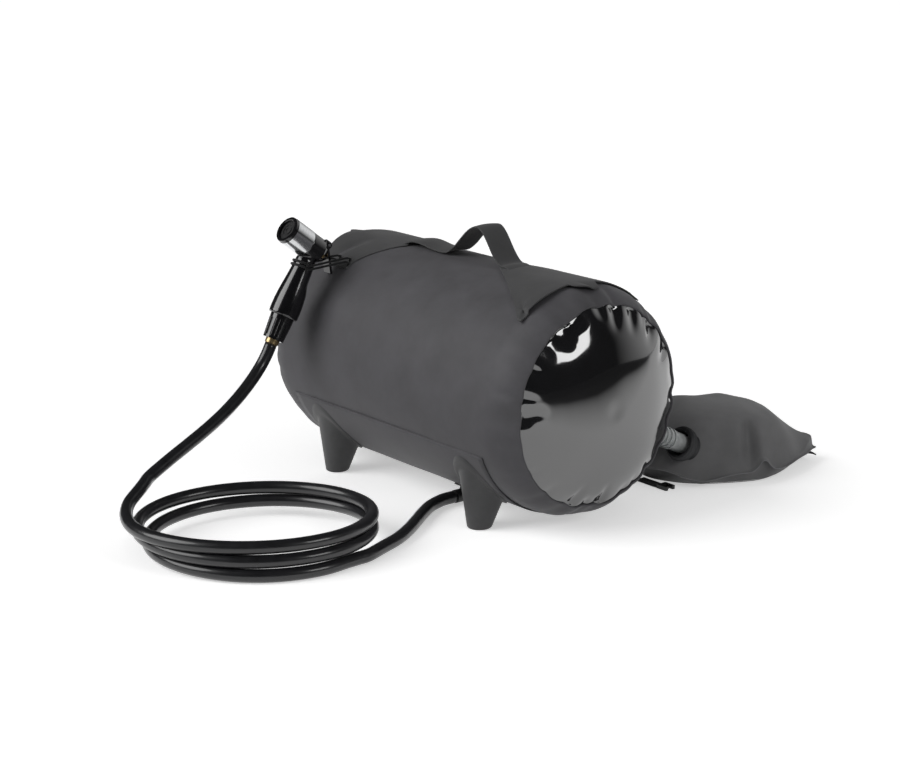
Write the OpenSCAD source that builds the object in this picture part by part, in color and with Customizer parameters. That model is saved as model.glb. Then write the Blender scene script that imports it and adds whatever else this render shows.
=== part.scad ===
// Soft pressure shower: a fabric water tank on feet, with a foot pump, a coiled hose and a hand sprayer.
// X runs along the tank, Y points away from the sprayer's side, Z is up and the ground is at zero.

/* [Tank] */
// Diameter of the filled tank
tank_d = 250; // [230:1:270]
// Height of the tank's underside above the ground
tank_lift = 11; // [9:1:16]
// Half of the length from one end seam to the other
seam_half = 216; // [206:1:230]
// Length of each rounded shoulder, along the tank
shoulder_len = 38; // [32:1:44]
// How much smaller the end seams are than the tank, on the radius
seam_drop = 15; // [10:1:20]
// How far each end panel bulges past its seam
end_bulge = 27; // [18:1:36]
// Thickness of the coated fabric
fabric = 1.2; // [0.8:0.1:1.8]
// Thickness of the end film
film = 1; // [0.6:0.1:1.4]
// Width of the turned-in hem at each end seam
hem = 5; // [4:0.5:8]
// Half of the length of the panel under the tank
base_half = 168; // [160:1:172]
// Angle from the top of the tank to the edge of that panel
base_angle = 111; // [108:1:114]

/* [Feet] */
// Distance of each foot from the middle, along the tank
foot_x = 129; // [115:1:132]
// Distance of each foot from the middle, across the tank
foot_y = 89; // [80:1:94]
// Radius of the foot on the ground
foot_r = 13; // [10:0.5:16]
// Lean of each foot towards the middle of the tank
foot_lean = 9; // [6:0.5:12]
// Angle between the foot's sides and its axis
foot_taper = 15; // [12:0.5:17]
// Width of the flange that is welded to the panel, round the foot
foot_rim = 5; // [3:0.5:6]
// Thickness of that flange
foot_flange_t = 1.8; // [1.2:0.1:2.4]

/* [Strap] */
// Width of the carrying strap
strap_w = 32; // [26:1:38]
// Thickness of the strap
strap_t = 1.6; // [1.2:0.1:2.2]
// Height of the strap's arch
arch_h = 37; // [30:1:44]
// Position of the top of the arch along the tank
arch_x = 35; // [30:1:40]
// Length of the arch's long side
arch_left = 60; // [52:1:66]
// Length of the arch's steep side
arch_right = 42; // [38:1:50]
// Distance from the middle to where each patch starts to flare
patch_in = 88; // [82:1:96]
// Distance from each end seam to the wide end of its patch
patch_inset = 35; // [30:1:42]
// Half of the width of each patch at its wide end
patch_half = 80; // [70:1:86]
// Distance from each end seam to the end of its patch's tongue
tongue_inset = 2; // [1:1:12]
// How far the strap overlaps each patch
strap_lap = 30; // [20:1:40]

/* [Sprayer place] */
// Position of the sprayer along the tank
grip_x = -142; // [-148:1:-136]
// Lean of the handle from upright
lean = 29; // [27:0.5:31]
// Distance from the tank's skin to the handle's axis
grip_off = 33; // [32:0.5:38]
// Length of the sprayer below the point nearest to the tank
grip_below = 55; // [50:1:60]
// Angle from the top of the tank to the holster's tab
tab_angle = 34; // [33:1:36]

/* [Sprayer] */
// Length of the nut at the foot of the handle
nut_len = 28; // [24:1:32]
// Radius of the nut at its lower end
nut_r0 = 12; // [11.5:0.1:12.6]
// Radius of the nut at its upper end
nut_r1 = 13.8; // [13.2:0.1:14.2]
// Number of grip grooves round the nut
nut_ribs = 18; // [12:1:24]
// Radius of the handle at its lower end
grip_r0 = 14.3; // [13.8:0.1:15]
// Radius of the handle under the head
grip_r1 = 10.8; // [10:0.1:11.4]
// Height of the head's axis above the nut's lower end
head_z = 112; // [108:1:118]
// Angle between the spray's axis and a line square to the handle
head_tilt = 8; // [4:1:12]
// Radius of the bright sleeve
sleeve_r = 16; // [15.4:0.1:17]
// Wall of the bright sleeve
sleeve_t = 1.8; // [1.2:0.1:2.2]
// Distance from the handle's axis to the rear edge of the sleeve
sleeve_z = 11; // [11:0.5:13]
// Length of the bright sleeve
sleeve_len = 26; // [24:0.5:30]
// Depth of the black ring in front of the sleeve
bezel_len = 4; // [3:0.5:6]
// Distance from the handle's axis to the rear face of the head
rear_len = 9; // [8.5:0.1:9.5]
// Radius of the valve chamber behind the seat
chamber_r = 9; // [8:0.1:9.4]
// Thickness of the valve seat
seat_t = 3; // [2:0.5:4]
// Radius of the valve stem
stem_r = 2.5; // [2:0.1:2.8]
// Travel of the valve stem
stem_travel = 5.8; // [5.4:0.1:6.2]
// Coil radius of the valve spring
spring_r = 5; // [4.4:0.1:5.6]
// Wire diameter of the valve spring
spring_wire = 1.2; // [0.8:0.1:1.4]
// Turns of the valve spring
spring_turns = 5; // [4:1:6]
// Length of the thumb lever
lever_len = 33; // [28:1:35]
// Width of the thumb lever
lever_w = 12; // [9:0.5:12.5]
// Thickness of the thumb lever
lever_t = 3; // [2.4:0.1:3.2]
// Angle between the lever and a line square to the spray's axis
lever_angle = 44; // [42:1:45]
// Height of the lever's pin above the spray's axis
pin_y = 12.5; // [12:0.1:13]
// Distance of the lever's pin behind the handle's axis
pin_z = 13.8; // [13.6:0.1:14.4]
// Radius of the lever's pin
pin_r = 1.5; // [1.2:0.1:1.8]

/* [Hose] */
// Outside diameter of the hose
hose_d = 13.8; // [13:0.1:14.6]
// Turns of the coil
coil_turns = 2.44; // [2.41:0.01:2.47]
// Half of the coil's length
coil_a = 126; // [120:1:132]
// Half of the coil's width
coil_b = 103; // [97:1:108]
// Height from one layer of the coil to the next
coil_pitch = 14; // [13.9:0.1:14.6]
// Length of the brass ferrule that shows under the nut
ferrule_show = 5; // [4:0.5:7]
// Wall of the ferrule round the hose's end
ferrule_lip = 1; // [0.6:0.1:1.2]
// Diameter of the elastic holster cords
elastic_d = 2.6; // [2:0.1:3]

/* [Filling] */
// Outside radius of the filling neck
neck_r = 26; // [24:0.5:30]
// Wall of the filling neck
neck_wall = 4; // [3:0.5:5]
// Height of the neck above its flange
neck_out = 16; // [14:0.5:20]
// Radius of the neck's flange
neck_flange_r = 36; // [35:0.5:40]
// Thickness of the neck's flange
neck_flange_t = 2; // [1.5:0.1:3]
// Thickness of the cap's seal
seal_t = 2; // [1.5:0.1:3]
// Wall of the cap
cap_wall = 3.5; // [3:0.1:4.5]
// Grip scallops round the cap
cap_grips = 12; // [8:1:16]

/* [Air line] */
// Distance from the end seam to the air inlet
inlet_inset = 51; // [46:1:56]
// Angle from the top of the tank to the air inlet
inlet_angle = 116; // [114:0.5:118]
// Outside radius of the clear connector
connector_r = 11; // [10:0.1:12]
// Wall of the clear connector
connector_wall = 2.5; // [2:0.1:3]
// Rings along the clear connector
connector_rings = 4; // [3:1:5]
// Wall of the inlet valve
inlet_wall = 2.8; // [2:0.1:3.2]
// Height of the pump's port above the ground
port_z = 50; // [48:0.5:52]
// Position of the outlet along the tank
outlet_x = 52.5; // [52.5:0.5:53]
// Angle from the top of the tank to the outlet
outlet_angle = 160; // [159.5:0.5:160.5]
// Radius of the outlet elbow
elbow_r = 7.8; // [7.2:0.1:8]

/* [Pump] */
// Length of the pump from its middle to its blunt end
pump_near = 131; // [124:1:136]
// Length of the pump from its middle to its narrow end
pump_far = 104; // [98:1:110]
// Half of the pump's width
pump_half = 78; // [74:1:84]
// Height of the pump when it is full of air
pump_h = 80; // [74:1:88]
// Height of the welded edge
edge_h = 17; // [14:1:20]
// Turn of the pump from the tank's length
pump_yaw = 66.5; // [64:0.5:69]
// Half of the length of the part that is trodden on
tread_a = 56; // [50:1:60]
// Half of the width of the part that is trodden on
tread_b = 44; // [38:1:48]
// Radius of the intake collar
intake_r = 19; // [17:0.5:20]
// Radius of the intake hole
intake_hole = 12.5; // [11:0.5:13.5]
// Lean of the intake collar from upright
intake_lean = 59; // [56:1:62]
// Width of the webbing on the pump
web_w = 14; // [12:0.5:16]
// Thickness of the webbing
web_t = 1.6; // [1.2:0.1:2]
// Length of the webbing that shows
web_len = 22; // [18:1:26]

/* [Fits] */
// Gap between layers that are welded together
layer_gap = 0.1; // [0.05:0.05:0.2]
// Gap round a piece that turns or slides
running = 0.3; // [0.2:0.05:0.4]
// Gap round a pin or a pushed-in piece
snug = 0.06; // [0.04:0.01:0.1]

/* [Hidden] */
$fn = 64;

// Tank
tank_r = tank_d / 2;
axis_z = tank_lift + tank_r;
seam_r = tank_r - seam_drop;
shoulder_start = seam_half - shoulder_len;
shoulder_r = (pow(shoulder_len, 2) + pow(seam_drop, 2)) / (2 * seam_drop);
shoulder_steps = 6;
dome_steps = 10;
rim_r = seam_r - hem;
panel_r = tank_r + layer_gap;
over_panel = panel_r + fabric + layer_gap;
strap_half = strap_w / 2;
patch_out = seam_half - patch_inset;
tongue_end = seam_half - tongue_inset;

// Sprayer
grip_y = -(tank_r + grip_off) * cos(lean) - grip_below * sin(lean);
grip_z = axis_z + (tank_r + grip_off) * sin(lean) - grip_below * cos(lean);
sleeve_end = sleeve_z + sleeve_len;
core_r = sleeve_r - sleeve_t - snug;
core_wall = 2.8;
front_chamber_r = core_r - core_wall;
face_t = 3.5;
face_z = sleeve_end - face_t + 1;
nut_lip = 4;
nut_wall = 2.4;
spigot_r = nut_r0 - nut_wall;
ferrule_r = hose_d / 2 + ferrule_lip;
flange_t = 2;
washer_t = 2.3;
spigot_z = nut_lip + running + flange_t + washer_t;
water_r = 4.2;
poppet_r = front_chamber_r - 3.6;
poppet_t = 3;
seat_hole_r = stem_r + 2.6;
poppet_z = sleeve_z + 1 + seat_t + running;
tip_z = -pin_z - pin_y * tan(lever_angle) + (lever_t / 2 + stem_r + running) / cos(lever_angle);

// Hose
hose_r = hose_d / 2;
coil_right = [0.626, 0.780, 0];
coil_back = [-0.780, 0.626, 0];
coil_centre = [27.5, -310.5, 0];
coil_drift = [5.5, -1.5];
coil_from = -0.1;
coil_flat = 0.25;
coil_dip = 0.1;
coil_lift = 547;
coil_rings = 24;
coil_sides = 6;
tube_sides = 10;
coil_top = hose_r + 0.1 + 2 * coil_pitch;
riser_route = [[-140.6, -184, 135.5], [-135, -200.5, 122.8], [-127.3, -222, 110],
    [-119.2, -246.5, 98], [-112, -272.5, 87], [-105.5, -299.5, 76.8], [-99, -328.5, 66]];
tail_route = [[131, -217, 7], [120.5, -191, 7], [105.5, -165.5, 7], [89, -142.5, 7], [73, -121, 7],
    [60, -101, 7.2], [53.8, -83.5, 7.7]];

// Filling
cap_inside_r = neck_r + running;
cap_r = cap_inside_r + cap_wall;
cap_top_t = 3;
neck_in = 8;
panel_x = seam_half + end_bulge;
neck_mouth = panel_x + neck_flange_t + neck_out;
cap_end = neck_mouth + seal_t + cap_top_t;

// Air line
inlet_x = seam_half - inlet_inset;
port_reach = (axis_z - port_z) / -cos(inlet_angle);
inlet_out = 14;
inlet_in = 8;
inlet_rim = 4.2;
inlet_r = connector_r + snug + inlet_wall;
inlet_flange_r = inlet_r + inlet_rim;
collar_len = 4;
port_wall = 4;
port_r = connector_r + snug + port_wall;
port_lip = 4.8;
port_lip_r = port_r + port_lip;
elbow_reach = (axis_z - elbow_r - 0.3) / -cos(outlet_angle);
elbow_in = 13;
elbow_bore = 4.2;
elbow_flange_t = 2;
stub_r = elbow_r - 0.9;
socket_r = elbow_r - 0.5;
outlet_nut_r = 14;
elbow_y = -elbow_reach * sin(outlet_angle);
elbow_z = axis_z + elbow_reach * cos(outlet_angle);
hose_end = [outlet_x, elbow_y - 14, elbow_z];

// Pump
pump_aside = 19;
pump_behind = 100;
pump_x = inlet_x - pump_aside;
pump_y = port_reach * sin(inlet_angle) + pump_behind;
pump_points = 40;
pump_middle = -8;
pump_taper = 1.8;
pump_drop = 0.55;
pump_floor = 1.2;
ground_share = 0.86;
pump_wall = 1.5;
tread_u = 6;
foam_share = 0.6;
foam_h = pump_h * 0.62;
intake_aside = 80;
intake_front = 50;
intake_share = 0.678;
intake_at = [pump_x - intake_aside, pump_y - intake_front, pump_h * intake_share];
// Size and height of each ring of the pump's cover, as shares of the whole
cover_rings = [[0.95, 0.45], [0.87, 0.7], [0.7, 0.89], [0.42, 0.98]];
tab_len = 8;
buckle_len = 15;
web_corner = 22;

// The whole object's reach, which puts its middle at the origin
front_reach = grip_y - nut_r0 * cos(lean);
back_reach = pump_y + (pump_far + running + tab_len) * sin(pump_yaw) + web_w / 2 * cos(pump_yaw);
shift = [(cap_end - panel_x) / 2, -(front_reach + back_reach) / 2, 0];

fabric_grey = "#4d4c4e";
strap_grey = "#3c3c3d";
foot_grey = "#464647";
gloss_black = "#151517";
rubber_black = "#1d1d1f";
film_black = "#0d0d0f";

// Radius of the tank's skin at a distance from its middle
function skin_r(x) = abs(x) <= shoulder_start ? tank_r
    : tank_r - shoulder_r + sqrt(pow(shoulder_r, 2) - pow(abs(x) - shoulder_start, 2));
function shoulder(x0) = [for (i = [0:shoulder_steps])
    shoulder_start + (x0 - shoulder_start) * i / shoulder_steps];
function along(x0) = concat([for (i = [len(shoulder(x0)) - 1:-1:0]) -shoulder(x0)[i]], shoulder(x0));
function reversed(list) = [for (i = [len(list) - 1:-1:0]) list[i]];
// Outside of an end panel, flat under its hem and, where asked, round its middle
function dome_x(r, flat) = seam_half + film
    + (end_bulge - film) * (1 - pow(max(0, min(r, rim_r) - flat) / (rim_r - flat), 2));
function smooth_fall(t) = t >= 1 ? 0 : (1 + cos(180 * t)) / 2;
function arch_z(x) = axis_z + over_panel + strap_t / 2
    + arch_h * smooth_fall(x < arch_x ? (arch_x - x) / arch_left : (x - arch_x) / arch_right);
// From the sprayer's own axes to the tank's
function from_sprayer(p) = [grip_x + p[0],
    grip_y + p[1] * cos(lean) + p[2] * sin(lean), grip_z - p[1] * sin(lean) + p[2] * cos(lean)];
function on_skin(x, angle, r) = [x, -r * sin(angle), axis_z + r * cos(angle)];
function grip_r(z) = grip_r1
    + (grip_r0 - grip_r1) * pow(smooth_fall((z - nut_len) / (head_z - nut_len)), 0.8);

// Hose paths
function coil_z(k) = k < coil_flat ? coil_top + coil_lift * pow(max(0, coil_dip - k), 2)
    : let (turn = floor(k - coil_flat), part = k - coil_flat - turn)
        coil_top - coil_pitch * (turn + max(0, (part - coil_flat) / (1 - coil_flat)));
function coil_point(k) = coil_centre + coil_z(k) * [0, 0, 1]
    + (coil_drift[0] * k - (coil_a - coil_drift[0] * k) * cos(360 * k)) * coil_right
    + (coil_drift[1] * k - coil_b * sin(360 * k)) * coil_back;
function unit(v) = v / norm(v);
coil_count = round((coil_turns - coil_from) * coil_rings);
coil_mid = [for (i = [1:coil_count - 1]) coil_point(coil_from + (coil_turns - coil_from) * i / coil_count)];
coil_in_dir = unit(coil_mid[1] - coil_mid[0]);
coil_out_dir = unit(coil_mid[len(coil_mid) - 1] - coil_mid[len(coil_mid) - 2]);
coil_start = coil_mid[0] - hose_d * coil_in_dir;
coil_finish = coil_mid[len(coil_mid) - 1] + hose_d * coil_out_dir;
coil_path = concat([coil_start], coil_mid, [coil_finish]);
riser_path = concat([from_sprayer([0, 0, -ferrule_show]), from_sprayer([0, 0, -ferrule_show - hose_d])],
    riser_route, [coil_start - hose_d * coil_in_dir, coil_start]);
tail_path = concat([coil_finish, coil_finish + hose_d * coil_out_dir], tail_route,
    [hose_end - [0, hose_d, 0], hose_end]);
function gap_between(path, skip, d) = min([for (i = [0:len(path) - 1], j = [i + skip:1:len(path) - 1])
    if (j < len(path)) norm(path[i] - path[j])]) - d;
function path_len(p) = [for (i = [1:len(p) - 1]) norm(p[i] - p[i - 1])] * [for (i = [1:len(p) - 1]) 1];
echo(coil_gap = gap_between(coil_path, round(coil_rings / 2), hose_d));
echo(hose_length = path_len(riser_path) + path_len(coil_path) + path_len(tail_path));

// Pump outline, blunt at one end and narrow at the other
function pump_width(u) = u < 0 ? pump_half * pow(1 - pow(-u / pump_near, 2.5), 0.4)
    : pump_half * (1 - pow(u / pump_far, pump_taper));
function pump_outline() = [for (i = [0:pump_points - 1])
    let (a = 360 * i / pump_points, u = cos(a) * (cos(a) < 0 ? pump_near : pump_far))
    [u, sign(sin(a)) * pump_width(u)]];
function pump_fall(u) = 1 - pump_drop * pow(max(0, u / pump_far), 1.5);
function pump_ring(share, z, t) = [for (p = pump_outline())
    let (s = share - t / pump_half, u = pump_middle + (p[0] - pump_middle) * s)
    [u, p[1] * s, pump_floor + t + (z - pump_floor - 2 * t) * pump_fall(u)]];
function pump_rings(t) = concat([pump_ring(ground_share, pump_floor + 2 * t, t), pump_ring(1, edge_h, t)],
    [for (r = cover_rings) pump_ring(r[0], pump_h * r[1], t)]);
function oval(a, b, n) = [for (i = [0:n - 1]) [a * cos(360 * i / n), b * sin(360 * i / n)]];

// A tube of triangles along a path
function tangents(p) = [for (i = [0:len(p) - 1]) unit(p[min(i + 1, len(p) - 1)] - p[max(i - 1, 0)])];
function carried(t, n, i = 0, done = []) = i == len(t) ? done
    : let (m = unit(n - (n * t[i]) * t[i])) carried(t, m, i + 1, concat(done, [m]));
module tube(path, d, sides) {
    t = tangents(path);
    n = carried(t, abs(t[0][2]) > 0.9 ? [1, 0, 0] : [0, 0, 1]);
    last = len(path) - 1;
    points = [for (i = [0:last], j = [0:sides - 1]) let (a = 360 * j / sides)
        path[i] + d / 2 * (cos(a) * n[i] + sin(a) * cross(t[i], n[i]))];
    sides_of = [for (i = [0:last - 1], j = [0:sides - 1])
        let (a = i * sides + j, b = i * sides + (j + 1) % sides)
        each [[a, a + sides, b + sides], [a, b + sides, b]]];
    near = [for (j = [1:sides - 2]) [0, j, j + 1]];
    far = [for (j = [1:sides - 2]) [last * sides, last * sides + j + 1, last * sides + j]];
    polyhedron(points, concat(sides_of, near, far));
}
// A closed form through rings of points, with a pole at each end
module skinned(rings, bottom, top) {
    n = len(rings[0]);
    count = len(rings) * n;
    points = concat([for (r = rings) each r], [bottom, top]);
    walls = [for (i = [0:len(rings) - 2], j = [0:n - 1]) let (a = i * n + j, b = i * n + (j + 1) % n)
        each [[a, a + n, b + n], [a, b + n, b]]];
    under = [for (j = [0:n - 1]) [count, j, (j + 1) % n]];
    over = [for (j = [0:n - 1]) [count + 1, count - n + (j + 1) % n, count - n + j]];
    polyhedron(points, concat(walls, under, over));
}

// Places
module around_tank() translate([0, 0, axis_z]) rotate([0, 90, 0]) rotate_extrude($fn = 96) children();
module at_angle(x, angle) translate([x, 0, axis_z]) rotate([angle, 0, 0]) children();
module on_sprayer() translate([grip_x, grip_y, grip_z]) rotate([-lean, 0, 0]) children();
module on_head() on_sprayer() translate([0, 0, head_z]) rotate([90 - head_tilt, 0, 0]) children();
module on_pump() translate([pump_x, pump_y, 0]) rotate([0, 0, pump_yaw]) children();
module on_intake() translate(intake_at) rotate([-intake_lean, 0, 90]) children();
module on_inlet() at_angle(inlet_x, -inlet_angle) children();
module on_outlet() at_angle(outlet_x, outlet_angle) children();
// A layer that follows the tank's skin
module layer(inner, thick, x0) around_tank() polygon(concat(
    [for (x = along(x0)) [skin_r(x) + inner + thick, x]],
    [for (x = reversed(along(x0))) [skin_r(x) + inner, x]]));
// A straight band round the tank
module band(inner, thick, x0, x1) around_tank() polygon([[inner, x0], [inner + thick, x0],
    [inner + thick, x1], [inner, x1]]);
module ring(r0, r1, z0, z1) translate([0, 0, z0]) difference() {
    cylinder(r = r1, h = z1 - z0);
    translate([0, 0, -1]) cylinder(r = r0, h = z1 - z0 + 2);
}

// Tank pieces
module tank_body() color(fabric_grey) difference() {
    around_tank() polygon(concat(
        [for (x = along(seam_half)) [skin_r(x), x]],
        [[rim_r, seam_half], [rim_r, seam_half - fabric]],
        [for (x = reversed(along(seam_half - fabric))) [skin_r(x) - fabric, x]],
        [[rim_r, fabric - seam_half], [rim_r, -seam_half]]));
    on_outlet() translate([0, 0, tank_r - 20]) cylinder(r = stub_r + running, h = 40);
    on_inlet() translate([0, 0, tank_r - 20]) cylinder(r = inlet_r + running, h = 40);
}
module end_panel(flat) {
    rs = [for (i = [0:dome_steps]) flat + (rim_r - flat) * i / dome_steps];
    around_tank() polygon(concat([[0, dome_x(0, flat)]], [for (r = rs) if (r > 0) [r, dome_x(r, flat)]],
        [[seam_r, dome_x(seam_r, flat)], [seam_r, dome_x(seam_r, flat) - film]],
        [for (r = reversed(rs)) if (r > 0) [r, dome_x(r, flat) - film]], [[0, dome_x(0, flat) - film]]));
}
module window_end_panel() color(film_black) end_panel(0);
module fill_end_panel() color(fabric_grey) mirror([1, 0, 0]) difference() {
    end_panel(neck_flange_r + 1);
    translate([panel_x, 0, axis_z]) rotate([0, 90, 0]) cylinder(r = neck_r + snug, h = 20, center = true);
}
module base_panel() color(fabric_grey) difference() {
    band(panel_r, fabric, -base_half, base_half);
    translate([-base_half - 1, -tank_r - 10, axis_z + tank_r * cos(base_angle)])
        cube([2 * base_half + 2, tank_d + 20, 2 * tank_r]);
    on_outlet() cylinder(r = stub_r + running, h = tank_r + 10);
    on_inlet() cylinder(r = inlet_flange_r + running, h = tank_r + 10);
}
module foot_cone(side_x, side_y, grow) translate([side_x * foot_x, side_y * foot_y, 0])
    rotate([side_y * foot_lean, 0, 0]) translate([0, 0, -foot_r])
        cylinder(r1 = foot_r + grow - foot_r * tan(foot_taper), r2 = foot_r + grow + axis_z * tan(foot_taper),
            h = foot_r + axis_z);
module whole_foot(side_x, side_y) {
    difference() {
        foot_cone(side_x, side_y, 0);
        translate([0, 0, axis_z]) rotate([0, 90, 0])
            cylinder(r = over_panel, h = 4 * foot_x, center = true, $fn = 96);
        translate([0, 0, -tank_r]) cube(2 * [3 * tank_r, tank_r, tank_r], center = true);
    }
    intersection() {
        foot_cone(side_x, side_y, foot_rim);
        band(over_panel, foot_flange_t, -2 * foot_x, 2 * foot_x);
    }
}
module foot(side_x, side_y) color(foot_grey) difference() {
    whole_foot(side_x, side_y);
    on_inlet() cylinder(r = inlet_flange_r + running, h = over_panel + foot_flange_t + running);
}
module foot_front_left() foot(-1, -1);
module foot_front_right() foot(1, -1);
module foot_rear_left() foot(-1, 1);
module foot_rear_right() foot(1, 1);
module patch() color(strap_grey) intersection() {
    layer(layer_gap, fabric, seam_half);
    translate([0, 0, axis_z]) linear_extrude(2 * tank_r) polygon([[patch_in, strap_half],
        [patch_out - 2, patch_half], [patch_out, patch_half], [patch_out, strap_half],
        [tongue_end, strap_half], [tongue_end, -strap_half], [patch_out, -strap_half],
        [patch_out, -patch_half], [patch_out - 2, -patch_half], [patch_in, -strap_half]]);
}
module left_patch() mirror([1, 0, 0]) patch();
module right_patch() patch();
module carry_strap() color(strap_grey) {
    x0 = -patch_in - strap_lap;
    x1 = patch_in + strap_lap;
    steps = 12;
    xs = concat([x0], [for (i = [0:steps]) arch_x - arch_left + arch_left * i / steps],
        [for (i = [1:steps]) arch_x + arch_right * i / steps], [x1]);
    mid = [for (x = xs) [x, arch_z(x)]];
    slope = [for (x = xs) let (d = [2, arch_z(x + 1) - arch_z(x - 1)]) [-d[1], d[0]] / norm(d)];
    side = strap_t / 2;
    outline = concat([for (i = [0:len(mid) - 1]) mid[i] + side * slope[i]],
        reversed([for (i = [0:len(mid) - 1]) mid[i] - side * slope[i]]));
    translate([0, strap_half, 0]) rotate([90, 0, 0]) linear_extrude(strap_w) polygon(outline);
}
tab_x = grip_x + 5;
tab_w = 30;
tab_d = 13;
tab_t = 2.4;
tab_row = 3;
tab_seat = tank_r + pow(tab_d / 2, 2) / tank_d + layer_gap;
module holster_tab() color(strap_grey) at_angle(tab_x, tab_angle)
    translate([-tab_w / 2, -tab_d / 2, tab_seat]) cube([tab_w, tab_d, tab_t]);
// An elastic loop from its row on the tab, round the handle and back to the tab
module holster_cord(below_head, spread, row) color(rubber_black) {
    z = head_z - below_head;
    r = grip_r(z) + elastic_d / 2 + running;
    square = [0, -sin(tab_angle), cos(tab_angle)];
    up_skin = [0, cos(tab_angle), sin(tab_angle)];
    ends = [for (side = [1, -1]) on_skin(tab_x + side * spread, tab_angle, tab_seat + tab_t) + row * up_skin];
    out = 2 * elastic_d * square;
    loop = [for (a = [0:22.5:180]) from_sprayer([r * cos(a), -r * sin(a), z])];
    tube(concat([ends[0], ends[0] + out], loop, [ends[1] + out, ends[1]]), elastic_d, 8);
}
module holster_cord_upper() holster_cord(20.5, 9.6, tab_row);
module holster_cord_lower() holster_cord(25, 13, -tab_row);

// Filling pieces, on the far end
module on_neck() translate([0, 0, axis_z]) rotate([0, -90, 0]) children();
module fill_neck() color(gloss_black) on_neck() {
    ring(neck_r - neck_wall, neck_flange_r, panel_x, panel_x + neck_flange_t);
    ring(neck_r - neck_wall, neck_r, panel_x - neck_in, neck_mouth);
}
module cap_seal() color(rubber_black) on_neck()
    translate([0, 0, neck_mouth]) cylinder(r = neck_r, h = seal_t);
module fill_cap() color(gloss_black) on_neck() difference() {
    translate([0, 0, panel_x + neck_flange_t + 1])
        cylinder(r = cap_r, h = cap_end - panel_x - neck_flange_t - 1);
    translate([0, 0, panel_x]) cylinder(r = cap_inside_r, h = neck_mouth + seal_t - panel_x);
    for (i = [0:cap_grips - 1]) rotate([0, 0, 360 * i / cap_grips])
        translate([cap_r + 2.5, 0, panel_x]) cylinder(r = 4, h = 60, $fn = 32);
}

// Water outlet, behind the front right foot
module at_elbow() translate([outlet_x, elbow_y, elbow_z]) children();
module outlet_elbow() color(gloss_black) difference() {
    union() {
        on_outlet() cylinder_between(stub_r, tank_r - elbow_in, elbow_reach);
        at_elbow() sphere(r = elbow_r);
        at_elbow() rotate([90, 0, 0]) cylinder(r = socket_r, h = elbow_y - hose_end[1]);
        intersection() {
            on_outlet() cylinder(r = 2 * stub_r, h = 2 * tank_r);
            band(over_panel, elbow_flange_t, 0, 2 * outlet_x);
        }
    }
    on_outlet() cylinder_between(elbow_bore, tank_r - 2 * elbow_in, elbow_reach + 1);
    at_elbow() rotate([90, 0, 0]) cylinder(r = elbow_bore - 0.6, h = 2 * elbow_in);
}
module outlet_nut() color(gloss_black) on_outlet()
    ring(stub_r + snug, outlet_nut_r, tank_r - fabric - 6.4, tank_r - fabric - 1);

// Air inlet, connector and pump port, all on one axis
module inlet_valve() color(gloss_black) {
    on_inlet() ring(connector_r + snug, inlet_r, tank_r - inlet_in, tank_r + inlet_out);
    difference() {
        intersection() {
            layer(layer_gap, 2, seam_half);
            on_inlet() cylinder(r = inlet_flange_r, h = 2 * tank_r);
        }
        on_inlet() cylinder(r = connector_r + snug, h = 2 * tank_r);
    }
}
flap_t = 1.2;
module inlet_flap() color(rubber_black) on_inlet()
    translate([0, 0, tank_r - inlet_in - running - flap_t]) {
        cylinder(r = inlet_r, h = flap_t);
        translate([-5, -inlet_r - 2, 0]) cube([10, inlet_r, flap_t]);
    }
module air_connector() color("#c9cdd0", 0.5) on_inlet() difference() {
    union() {
        cylinder_between(connector_r, tank_r, port_reach + 6);
        cylinder_between(inlet_r + 1, tank_r + inlet_out, tank_r + inlet_out + collar_len);
        for (i = [1:connector_rings])
            translate([0, 0, tank_r + inlet_out + collar_len + i * 7])
                cylinder(r = connector_r + 1.2, h = 2.4);
    }
    cylinder_between(connector_r - connector_wall, 0, 2 * port_reach);
}
module cylinder_between(r, z0, z1) translate([0, 0, z0]) cylinder(r = r, h = z1 - z0);
module outlet_port() color(rubber_black) on_inlet() translate([0, 0, port_reach]) rotate_extrude() polygon([
    [connector_r + snug, 14], [port_r, 14], [port_r, 5], [port_lip_r - 0.8, 4], [port_lip_r, 1],
    [port_lip_r, -3], [port_lip_r - 1.5, -6], [port_lip_r - 3.5, -7], [port_r, -6], [port_r - 1.6, -3.5],
    [connector_r + snug, 1]]);

// Pump pieces
module pump_form(t) on_pump() skinned(pump_rings(t),
    [pump_middle, 0, pump_floor + t], [pump_middle, 0, pump_h - t]);
module pump_shell() difference() {
    pump_form(0);
    pump_form(pump_wall);
}
module tread_prism(grow) on_pump() translate([tread_u, 0, pump_h / 2])
    linear_extrude(pump_h) polygon(oval(tread_a + grow, tread_b + grow, 48));
module pump_base() color(fabric_grey) on_pump() linear_extrude(pump_floor)
    polygon([for (p = pump_ring(ground_share, pump_floor, 0)) [p[0], p[1]]]);
module pump_bag() color(fabric_grey) difference() {
    pump_shell();
    tread_prism(running);
    on_intake() translate([0, 0, -20]) cylinder(r = intake_r + running, h = 80);
    on_inlet() translate([0, 0, port_reach - 30]) cylinder(r = port_lip_r + running, h = 60);
}
module pump_top_panel() color(fabric_grey) intersection() {
    pump_shell();
    tread_prism(0);
}
module pump_foam() color("#8a8a86") on_pump() translate([0, 0, pump_floor + pump_wall + running])
    linear_extrude(foam_h - pump_floor) polygon([for (p = pump_outline())
        [tread_u + p[0] * foam_share * 0.8, p[1] * foam_share]]);
intake_in = 12;
module intake_collar() color(rubber_black) on_intake() rotate_extrude() polygon([
    [intake_hole, -intake_in], [intake_hole + 2.5, -intake_in], [intake_hole + 2.5, -5],
    [intake_r - 0.8, -4], [intake_r, -1], [intake_r, 2], [intake_r - 1.5, 5.5],
    [intake_hole + 2.2, 6.5], [intake_hole + 0.6, 5.5], [intake_hole, 3.5]]);
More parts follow.
